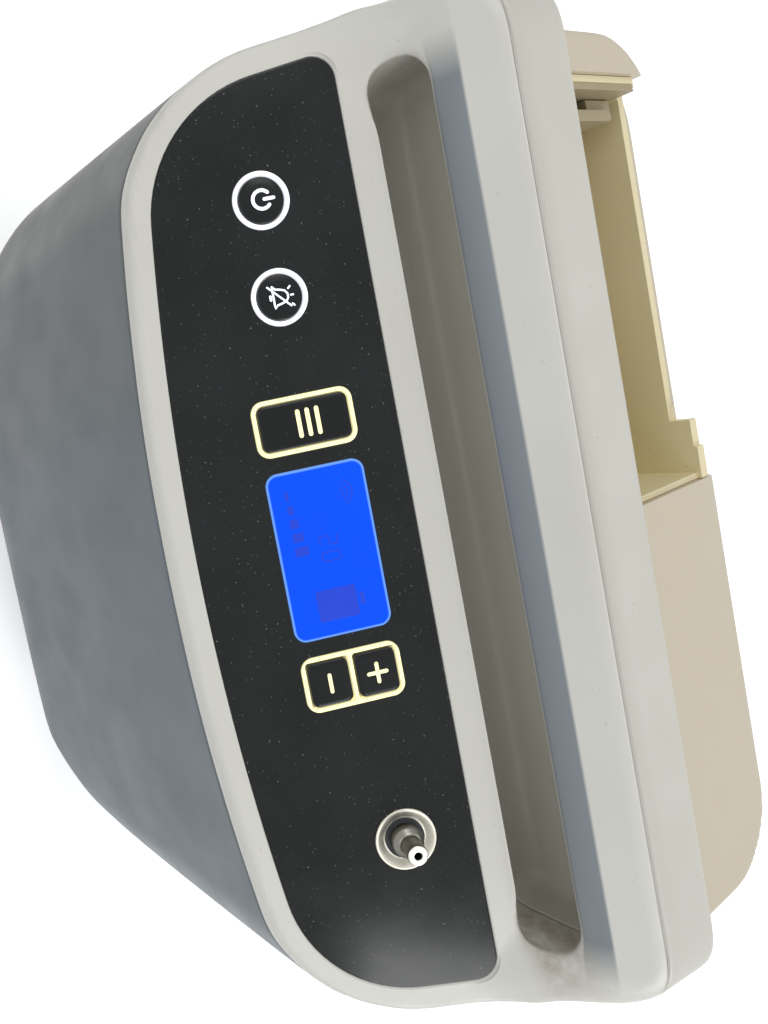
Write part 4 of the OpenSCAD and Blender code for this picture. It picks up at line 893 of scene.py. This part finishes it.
def block(corners):
    """A box from its four lower and four upper corners."""
    return to_object("cutter", corners, [(3, 2, 1, 0), (4, 5, 6, 7), (0, 1, 5, 4), (1, 2, 6, 5),
                                         (2, 3, 7, 6), (3, 0, 4, 7)])


def keep_side(ob, at, normal):
    """Keeps what lies on the side of a plane that the normal points away from."""
    n = Vector(normal).normalized()
    turn = n.to_track_quat("Z", "Y").to_matrix()
    c = block([Vector(at) + turn @ Vector((sx * 500, sy * 500, z))
               for z in (0, 900) for sx, sy in SQUARE])
    cut(ob, c)
    drop(c)


def shade(ob, field, angle):
    """Smooth shading, with exact normals where the surface follows the field."""
    me = ob.data
    me.shade_smooth()
    me.set_sharp_from_angle(angle=math.radians(angle))
    if field is None:
        m = ob.modifiers.new("normals", "WEIGHTED_NORMAL")
        m.keep_sharp = True
        m.weight = 100
        apply_modifiers(ob)
        return
    n = len(me.vertices)
    v = np.empty(n * 3)
    me.vertices.foreach_get("co", v)
    v = v.reshape(-1, 3)
    off = np.abs(field(*v.T)) < 0.004
    g = np.zeros_like(v)
    g[off] = slope_of(field, v[off])
    g /= np.maximum(np.linalg.norm(g, axis=1), 1e-9)[:, None]
    loops = np.empty(len(me.loops), int)
    me.loops.foreach_get("vertex_index", loops)
    now = np.empty(len(me.loops) * 3)
    me.corner_normals.foreach_get("vector", now)
    now = now.reshape(-1, 3)
    want = g[loops]
    good = off[loops] & ((want * now).sum(1) > 0.8)
    now[good] = want[good]
    me.normals_split_custom_set([tuple(p) for p in now])


def fascia_outline(grow):
    """The black panel's outline on the panel's plane, grown outwards."""
    half_w, up, top_r, corner_r, bow_r = 134.2, 26.3, 6.2, 40.0, 779.0
    front = 39.4 / math.cos(TILT) - 7.1
    cx = half_w - 1.9 - corner_r
    bow_c = (0.0, bow_r - front)
    corner_c = (cx, bow_c[1] - math.sqrt((bow_r - corner_r) ** 2 - cx * cx))
    top_c = (half_w - top_r, up - top_r)
    a0 = math.atan2(corner_c[1] - bow_c[1], corner_c[0])
    a1 = touch(corner_c, corner_r, top_c, top_r)
    half = arc_points(*bow_c, bow_r + grow, -math.pi / 2, a0, 24)[:-1]
    half += arc_points(*corner_c, corner_r + grow, a0, a1, 16)
    half += arc_points(*top_c, top_r + grow, a1, math.pi / 2, 10)
    return half + [(-x, y) for x, y in half[:0:-1]]


outer_form, inner_form = form_mesh(0.0, -WALL)
bm = bmesh.new()
vs = [bm.verts.new(tuple(p)) for p in outer_form[0]]
for quad in outer_form[1]:
    bm.faces.new([vs[i] for i in quad])
loops = []
for s in (-1, 1):
    for d in (0.15, 0.3, 0.55, SEAM_HALF):
        loops += [((0, SEAM + s * d, 0), (0, 1, 0)),
                  (tuple(on_panel(0, 0, RING_W + s * d)), tuple(PANEL_N)),
                  ((0, 0, BASE_Z + s * d), (0, 0, 1))]
cut_loops(bm, loops)


def to_ring_seam(x, y, z):
    """Distance to the seam under the panel's ring, which ends at the pocket's walls."""
    on_seam = (y < SEAM) & ((np.abs(x) > ZONE_X) | (y < ZONE_Y))
    return np.where(on_seam, over_panel(y, z) - RING_W, 9)


groove(bm, lambda x, y, z: y - SEAM, 0.7)
groove(bm, to_ring_seam, 0.6)
groove(bm, lambda x, y, z: z - BASE_Z, 0.6)
outer = mesh_object("outer", bm)
inner = to_object("inner", *inner_form)
shell = copy_of(outer, "shell")
cut(shell, inner)


def under_ring(w):
    """Everything below a depth under the panel, except the finger pocket's walls."""
    c = block([on_panel(400 * sx, 400 * sy, h) for h in (w - FAR, w) for sx, sy in SQUARE])
    zone = box_cutter(-ZONE_X, ZONE_X, ZONE_Y, 90, ZONE_Z, 400)
    cut(c, zone)
    drop(zone)
    return c


front = copy_of(shell, "front_half")
keep_side(front, (0, SEAM - GAP, 0), (0, 1, 0))
low_part, low_rest = under_ring(RING_W - GAP), under_ring(RING_W + GAP)
cover = copy_of(front, "front_cover_body")
boolean(cover, low_part, "INTERSECT")
keep_side(cover, (0, 0, BASE_Z + GAP), (0, 0, -1))
ring = copy_of(front, "top_frame_body")
cut(ring, low_rest)
drop(front, low_part, low_rest)
ledge = prism("ledge", fascia_outline(1.9), [(LEDGE_W, 0), (PLATE_BACK, 0)], on_panel)
join(ring, ledge)
seat = prism("seat", fascia_outline(0.12),
             [(PLATE_BACK, 0), (-0.55, 0.0), (-0.32, 0.06), (-0.14, 0.22), (-0.02, 0.5),
              (0.1, 0.8), (6, 0.8)], on_panel)
cut(ring, seat)
drop(ledge, seat)

rear = copy_of(shell, "rear_shell_body")
keep_side(rear, (0, SEAM + GAP, 0), (0, -1, 0))
keep_side(rear, (0, 0, BASE_Z + GAP), (0, 0, -1))
seats = [box_cutter(AIR_X - 31.6, AIR_X + 31.6, 59, 76, 119.4, 200.6),
         box_cutter(INLET_X - 14.6, INLET_X + 14.6, 71.4, 76, 28.4, 63.6)]
join(rear, *seats)


def soft_opening(x, z, w, h, r, deep):
    """Cutter for an opening in the rear face with rounded corners and a softened rim."""
    rim = 0.45
    return along_y(round_rect(w, h, r, x, z),
                   [(BACK - deep, 0), (BACK - rim, 0), (BACK - rim * 0.3, rim * 0.35),
                    (BACK + 0.01, rim), (BACK + 3, rim)])


holes = [soft_opening(AIR_X, 160, 58, 76, 1.6, 16), soft_opening(AIR_X, 160, 46, 64, 1.2, 30),
         soft_opening(AIR_X, 74, 54, 54, 1.4, 9), soft_opening(INLET_X, 46, 24, 30, 1.2, 3),
         along_y(round_rect(11.2, 11.2, 5.59, INLET_X, 46, 12), [(60, 0), (80, 0)]),
         box_cutter(INLET_X - 13.4, INLET_X + 13.4, 74.95, 76.45, 58.85, 60.35),
         box_cutter(BAY_X0, BAY_X1, 33.8, 72.4, 127, 300),
         box_cutter(BAY_X0, BAY_X1, 71.1, 90, 240.6, 300)]
for side in (-1, 1):
    for z in (42, 186):
        holes.append(along_y(round_rect(3.4, 3.4, 1.69, side * 136, z), [(5, 0), (40, 0)]))
cut(rear, *holes)
drop(*seats, *holes)

pan = copy_of(shell, "base_pan_body")
keep_side(pan, (0, 0, BASE_Z - GAP), (0, 0, 1))
posts = [(x, y) for x in (-44, 44) for y in (-4, 22)]
adds = [lathe("post", [(0, 7), (5, 7), (5, 20), (0, 20)], plain, at, 48) for at in posts]
adds.append(lathe("post", [(0, 7), (7.1, 7), (7.1, 18.5), (0, 18.5)], plain, (0, 12), 48))
join(pan, *adds)
cuts = [lathe("hole", [(0, 5), (3.75, 5), (3.75, 5.9), (3.3, 6.35), (3.3, 8.4), (1.7, 8.4),
                       (1.7, 22), (0, 22)], plain, at, 48) for at in posts]
cuts.append(lathe("hole", [(0, 5), (4.9, 5), (4.9, 5.9), (4.5, 6.3), (4.5, 18.02), (0, 18.02)],
                  plain, (0, 12), 48))
cuts += [prism("vent", round_rect(4, 26, 1.9, s * x, -11), [(2, 0.4), (6, 0.4), (6.4, 0), (12, 0)])
         for s in (-1, 1) for x in (18, 27, 36)]
cuts += [lathe("hole", [(0, 4), (2.5, 4), (2.5, 12), (0, 12)], plain, (x, y), 24)
         for x in (-66, 66) for y in (-2, 44)]
cut(pan, *cuts)
drop(outer, inner, shell, *adds, *cuts)


def finish_piece(ob, look, body_name, slot, *nodes, field=None, angle=38):
    """Shades a mesh made in millimetres, scales it to metres, gives it one material, hides the CAD
    nodes it stands for and parents it to its body's empty.
    """
    shade(ob, field, angle)
    ob.data.transform(Matrix.Scale(MM, 4))
    ob.data.materials.clear()
    ob.data.materials.append(material(look))
    if nodes:
        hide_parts(*nodes)
    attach(ob, body_name)


finish_piece(cover, "cover_grey", "housing", "cover_grey", "front_cover", field=body)
finish_piece(ring, "cream_front", "housing", "frame_cream", "top_frame", field=body)
finish_piece(rear, "cream_shell", "housing", "shell_cream", "rear_shell", field=body)
finish_piece(pan, "base_grey", "housing", "base_grey", "base_pan", field=body)


# ---------------------------------------------------------------- control panel
RING_D, LINE, KEY_GAP = 15.8, 1.2, 0.35
FRAME_W, FRAME_L, FRAME_R, FRAME_X = 15.9, 28.8, 3.6, 36.9
KEY_W = FRAME_W - 2 * (LINE + KEY_GAP)
HALF_L = (FRAME_L - 3 * LINE) / 2
LEVEL_UP = (HALF_L + LINE) / 2
KEY_AT = {"power": (-98.8, -0.2), "alarm": (-72.1, -0.2), "mode": (-FRAME_X, 0),
          "plus": (FRAME_X, LEVEL_UP), "minus": (FRAME_X, -LEVEL_UP)}
OUTLET_AT = (87.0, 6.1)
STEM_R, STEM_END, FRAME_BACK, SIGN_TOP, HOLE_END, RIM = 2.6, -7.15, -10, 0.82, -2.5, 0.25
HOLE_LEVELS = [(HOLE_END, 0), (PLATE_TOP - RIM, 0), (PLATE_TOP - RIM * 0.3, RIM * 0.3),
               (-0.14, RIM), (1, RIM)]

plate = prism("control_fascia_plate", fascia_outline(0),
              [(PLATE_BACK, 0), (-0.55, 0), (-0.28, -0.1), (PLATE_TOP, -0.4)], on_panel)
r = RING_D / 2
ring_hole = [(0, HOLE_END), (r + 0.1, HOLE_END), (r + 0.1, -0.35), (r + 0.3, -0.1),
             (r + 0.3, 1), (0, 1)]
outlet_hole = [(0, HOLE_END), (9.15, HOLE_END), (9.15, -0.3), (9.3, -0.1), (9.3, 1), (0, 1)]
openings = [lathe("hole", ring_hole, on_panel, KEY_AT[key], 96) for key in ("power", "alarm")]
for outline in [round_rect(FRAME_W + 0.2, FRAME_L + 0.2, FRAME_R + 0.1, s * FRAME_X, 0, 12)
                for s in (-1, 1)] + [round_rect(LCD_W + 0.2, LCD_H + 0.2, LCD_R + 0.1, 0, 0, 12)]:
    openings.append(prism("hole", outline, HOLE_LEVELS, on_panel))
openings.append(lathe("hole", outlet_hole, on_panel, OUTLET_AT, 96))
cut(plate, *openings)
drop(*openings)
finish_piece(plate, "panel_black", "housing", "panel_black", "control_fascia", angle=30)

for key in ("power", "alarm"):
    q = r - LINE
    ring_piece = lathe(key + "_light_line",
                       [(q, FRAME_BACK), (r, FRAME_BACK), (r, 0.0), (r - 0.1, 0.15),
                        (r - 0.25, 0.2), (q + 0.25, 0.2), (q + 0.08, 0.14), (q, 0.0)],
                       on_panel, KEY_AT[key], 96, True)
    finish_piece(ring_piece, "light_white", "housing", "light_white", key + "_light_ring", angle=50)
    k = q - KEY_GAP
    cap = lathe(key + "_key_cap",
                [(0, STEM_END), (STEM_R, STEM_END), (STEM_R, -5.1), (k, -4.15), (k, -0.25),
                 (k - 0.05, 0.0), (k - 0.2, 0.22), (k - 0.5, 0.4), (k - 1.0, 0.53), (k - 1.6, 0.62),
                 (k - 2.3, 0.7), (k - 3.4, 0.765), (1.6, 0.795), (0, 0.8)],
                on_panel, KEY_AT[key], 96)
    finish_piece(cap, "key_black", key + "_key", "key_black", key + "_button", angle=35)

INNER_L = FRAME_L - 2 * LINE
BAR_UP, BAR_L = (INNER_L + LINE) / 4, (INNER_L - LINE) / 2
for name, x, hole_r, spans in (("mode", -FRAME_X, FRAME_R - LINE, [(0, INNER_L)]),
                               ("level", FRAME_X, 0.9, [(BAR_UP, BAR_L), (-BAR_UP, BAR_L)])):
    frame_piece = prism(name + "_light_line", round_rect(FRAME_W, FRAME_L, FRAME_R, x, 0, 12),
                        [(FRAME_BACK, 0), (0, 0), (0.14, -0.08), (0.2, -0.25)], on_panel)
    for cy, length in spans:
        hole = prism("hole", round_rect(FRAME_W - 2 * LINE, length, hole_r, x, cy, 10),
                     [(-11, 0), (0.02, 0), (0.14, 0.06), (0.21, 0.25), (1, 0.25)], on_panel)
        cut(frame_piece, hole)
        drop(hole)
    finish_piece(frame_piece, "light_yellow", "housing", "light_yellow", name + "_light_frame",
                 angle=40)


def slab_cap(key, length):
    """A slab-shaped key with a crowned top and a stem."""
    cap = prism(key + "_key_cap", round_rect(KEY_W, length, 1.9, *KEY_AT[key], 10),
                [(-4.15, 0), (-0.1, 0), (0.2, -0.05), (0.42, -0.18), (0.58, -0.4), (0.69, -0.75),
                 (0.75, -1.15), (0.79, -1.6)], on_panel)
    stem = lathe("stem", [(0, STEM_END), (STEM_R, STEM_END), (STEM_R, -3.9), (0, -3.9)],
                 on_panel, KEY_AT[key], 32)
    join(cap, stem)
    drop(stem)
    finish_piece(cap, "key_black", key + "_key", "key_black", key + "_button", angle=30)


slab_cap("mode", FRAME_L - 2 * (LINE + KEY_GAP))
slab_cap("plus", HALF_L - 2 * KEY_GAP)
slab_cap("minus", HALF_L - 2 * KEY_GAP)


def stroke(points, width, n=6):
    """Outline of a line of some width with round ends."""
    p = np.array(points, float)
    d = np.gradient(p, axis=0)
    d /= np.linalg.norm(d, axis=1)[:, None]
    side = np.stack([-d[:, 1], d[:, 0]], 1) * width / 2
    out = [tuple(q) for q in p - side]
    a = math.atan2(d[-1][1], d[-1][0])
    out += arc_points(*p[-1], width / 2, a - math.pi / 2, a + math.pi / 2, n)[1:-1]
    out += [tuple(q) for q in (p + side)[::-1]]
    a = math.atan2(d[0][1], d[0][0])
    out += arc_points(*p[0], width / 2, a + math.pi / 2, a + 1.5 * math.pi, n)[1:-1]
    return out


def bar(a, b, width, n=6):
    """A straight stroke between two points."""
    return stroke([tuple(np.array(a) * (1 - t) + np.array(b) * t) for t in (0, 0.5, 1)], width, n)


def sign(name, outlines, at, look, slot, body_name, top=SIGN_TOP, base=0.25):
    """A flat sign of separate outlines on the panel's plane, reaching from top - base to top."""
    whole = None
    for pts in outlines:
        part = prism(name, [(u + at[0], v + at[1]) for u, v in pts],
                     [(top - base, 0), (top - 0.01, 0), (top, -0.03)], on_panel)
        if whole is None:
            whole = part
        else:
            join(whole, part)
            drop(part)
    finish_piece(whole, look, body_name, slot, angle=40)


power_arc = arc_points(0, 0, 2.5, math.radians(90 + 42), math.radians(90 + 318), 30)
bell = [(-3.0, -1.9), (-2.2, -1.2), (-1.9, 0.2), (-1.5, 1.4), (-0.6, 2.1), (0.6, 2.1), (1.5, 1.4),
        (1.9, 0.2), (2.2, -1.2), (3.0, -1.9), (2.0, -1.95), (0, -1.95), (-2.0, -1.95), (-3.0, -1.9)]
bell_mark = [stroke(bell, 0.55, 3), bar((-0.5, -2.75), (0.5, -2.75), 0.7),
             bar((-3.1, -3.2), (2.9, 2.6), 0.5), bar((0, 2.9), (0, 3.6), 0.5),
             bar((-1.9, 2.5), (-2.4, 3.1), 0.5), bar((2.4, 3.0), (2.9, 3.5), 0.5)]
power_mark = [stroke(power_arc, 0.95), bar((0, 0.7), (0, 3.3), 0.95)]
mode_mark = [bar((-3.4, v), (3.4, v), 1.25) for v in (2.7, 0.0, -2.7)]
plus_mark = [bar((-2.6, 0), (2.6, 0), 1.1), bar((0, -2.6), (0, 2.6), 1.1)]
minus_mark = [bar((-2.4, 0), (2.4, 0), 1.1)]
for key, mark, at, look in (("power", power_mark, KEY_AT["power"], "light_white"),
                            ("alarm", bell_mark, KEY_AT["alarm"], "light_white"),
                            ("mode", mode_mark, (-FRAME_X, 1.0), "light_yellow"),
                            ("plus", plus_mark, KEY_AT["plus"], "light_yellow"),
                            ("minus", minus_mark, KEY_AT["minus"], "light_yellow")):
    sign(key + "_sign", mark, at, look, look, key + "_key")

glass = prism("lcd_glass", round_rect(LCD_W, LCD_H, LCD_R, 0, 0, 12),
              [(PLATE_BACK, 0), (-0.35, 0), (-0.2, -0.06), (PLATE_TOP, -0.2)], on_panel)
finish_piece(glass, "display", "housing", "display_blue", "lcd_window", angle=35)

SEGMENTS = {"2": "abged", "0": "abcdef"}


def digit(ch, x, y, w, h):
    """A plain digit of seven bars."""
    ends = {"a": ((0, h), (w, h)), "b": ((w, h), (w, h / 2)), "c": ((w, h / 2), (w, 0)),
            "d": ((0, 0), (w, 0)), "e": ((0, h / 2), (0, 0)), "f": ((0, h), (0, h / 2)),
            "g": ((0, h / 2), (w, h / 2))}
    out = []
    for s in SEGMENTS[ch]:
        (ax, ay), (bx, by) = ends[s]
        dx, dy = (bx - ax) * 0.1, (by - ay) * 0.1
        out.append(bar((x + ax + dx, y + ay + dy), (x + bx - dx, y + by - dy), 0.42, 2))
    return out


marks = []
for i, ch in enumerate("20"):
    marks += digit(ch, -4.5 + 4.6 * i, -2.2, 2.6, 5.2)
for i in range(5):
    marks.append(round_rect(2.6, 1.1 + 0.7 * i, 0.2, -17.5 + 4.0 * i, -9.0 + 0.35 * i, 2))
marks += [stroke(arc_points(-15.5, 5.6, r, 0.5, math.pi - 0.5, 10), 0.4, 2)
          for r in (1.4, 2.7, 4.0)]
marks.append(round_rect(9.0, 11.6, 0.5, 15.1, -0.4, 3))
marks.append(round_rect(3.6, 1.3, 0.3, 15.1, 6.9, 2))
sign("display_marks", marks, (0, 0), "display_mark", "display_blue", "housing", -0.09, 0.1)

# ---------------------------------------------------------------- oxygen outlet
cup_profile = [(4.2, PLATE_BACK), (8.75, PLATE_BACK), (9.05, -1.45), (9.05, 0.1), (8.98, 0.28),
               (8.8, 0.38), (8.5, 0.4), (8.2, 0.34), (7.6, 0.0), (7.0, -0.5), (6.5, -0.86),
               (6.1, -1.02), (5.6, -1.05), (4.2, -1.05)]
dish = lathe("outlet_dish", cup_profile, on_panel, OUTLET_AT, 120, True)
finish_piece(dish, "outlet_dish", "housing", "outlet_metal", "outlet_cup", angle=45)
tip_profile = [(1.1, -9.35), (4.0, -9.35), (4.0, -0.45), (4.35, -0.45), (4.55, -0.3), (4.6, 0.0),
               (4.6, 2.2), (4.5, 2.5), (4.2, 2.9), (3.75, 3.35), (3.35, 3.65), (3.1, 3.8),
               (2.98, 4.2), (2.95, 6.0), (2.98, 7.6), (3.0, 8.9), (2.94, 9.2), (2.8, 9.42),
               (2.55, 9.6), (2.25, 9.7), (1.5, 9.7), (1.25, 9.62), (1.1, 9.4)]
tip = lathe("outlet_tip", tip_profile, on_panel, OUTLET_AT, 96, True)
finish_piece(tip, "outlet_metal", "housing", "outlet_metal", "outlet_barb", angle=40)


# ---------------------------------------------------------------- plain solids with softened edges
def soften(node_name, name, look, body_name, slot, width):
    """A copy of a CAD node's mesh with its flat faces joined and its edges rounded off."""
    angle = 35
    bm = bmesh.new()
    bm.from_mesh(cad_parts[node_name].data)
    bmesh.ops.remove_doubles(bm, verts=bm.verts, dist=1e-6)
    bmesh.ops.dissolve_limit(bm, angle_limit=math.radians(1.0), verts=bm.verts, edges=bm.edges)
    ob = mesh_object(name, bm)
    m = ob.modifiers.new("soft", "BEVEL")
    m.width = width * MM
    m.segments = 2
    m.limit_method = "ANGLE"
    m.angle_limit = math.radians(angle)
    m.use_clamp_overlap = True
    apply_modifiers(ob)
    ob.data.transform(Matrix.Scale(1000, 4))
    finish_piece(ob, look, body_name, slot, node_name, angle=angle)


soften("battery_bay", "bay_liner", "khaki", "housing", "liner_khaki", 0.3)
soften("bay_guide", "bay_guide_rails", "khaki_guide", "housing", "guide_khaki", 0.3)
soften("bay_latch", "bay_latch_pawl", "khaki_guide", "battery_latch", "guide_khaki", 0.25)
soften("intake_grille", "intake_panel_slats", "cream_shell", "intake_panel", "shell_cream", 0.4)
soften("exhaust_grille", "exhaust_slats", "base_grey", "housing", "base_grey", 0.3)
soften("dc_cover", "inlet_flap", "cover_rubber", "inlet_cover", "cover_rubber", 0.3)


def pressed(node_name, name, about=None):
    """A copy of a CAD node's mesh, or of its part near a point, with a mesh of its own, for a
    spring or a key's dome.
    """
    bm = bmesh.new()
    bm.from_mesh(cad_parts[node_name].data)
    if about is not None:
        far = [v for v in bm.verts if (v.co - Vector(about)).length > DOME_REACH * MM]
        bmesh.ops.delete(bm, geom=far, context="VERTS")
    bmesh.ops.remove_doubles(bm, verts=bm.verts, dist=1e-6)
    ob = mesh_object(name, bm)
    ob.data.transform(Matrix.Scale(1000, 4))
    finish_piece(ob, "steel", "housing", "steel", node_name, angle=40)
    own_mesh(ob)


SPRING_FOOT, SPRING_L, DOME_FOOT, DOME_H, DOME_REACH = 38.8, 15.97, -10.35, 3.2, 6.5
pressed("latch_spring", "latch_spring_coil")
for key, (u, v) in KEY_AT.items():
    pressed("key_domes", key + "_key_dome",
            on_panel(u, v, DOME_FOOT + DOME_H / 2) * MM)
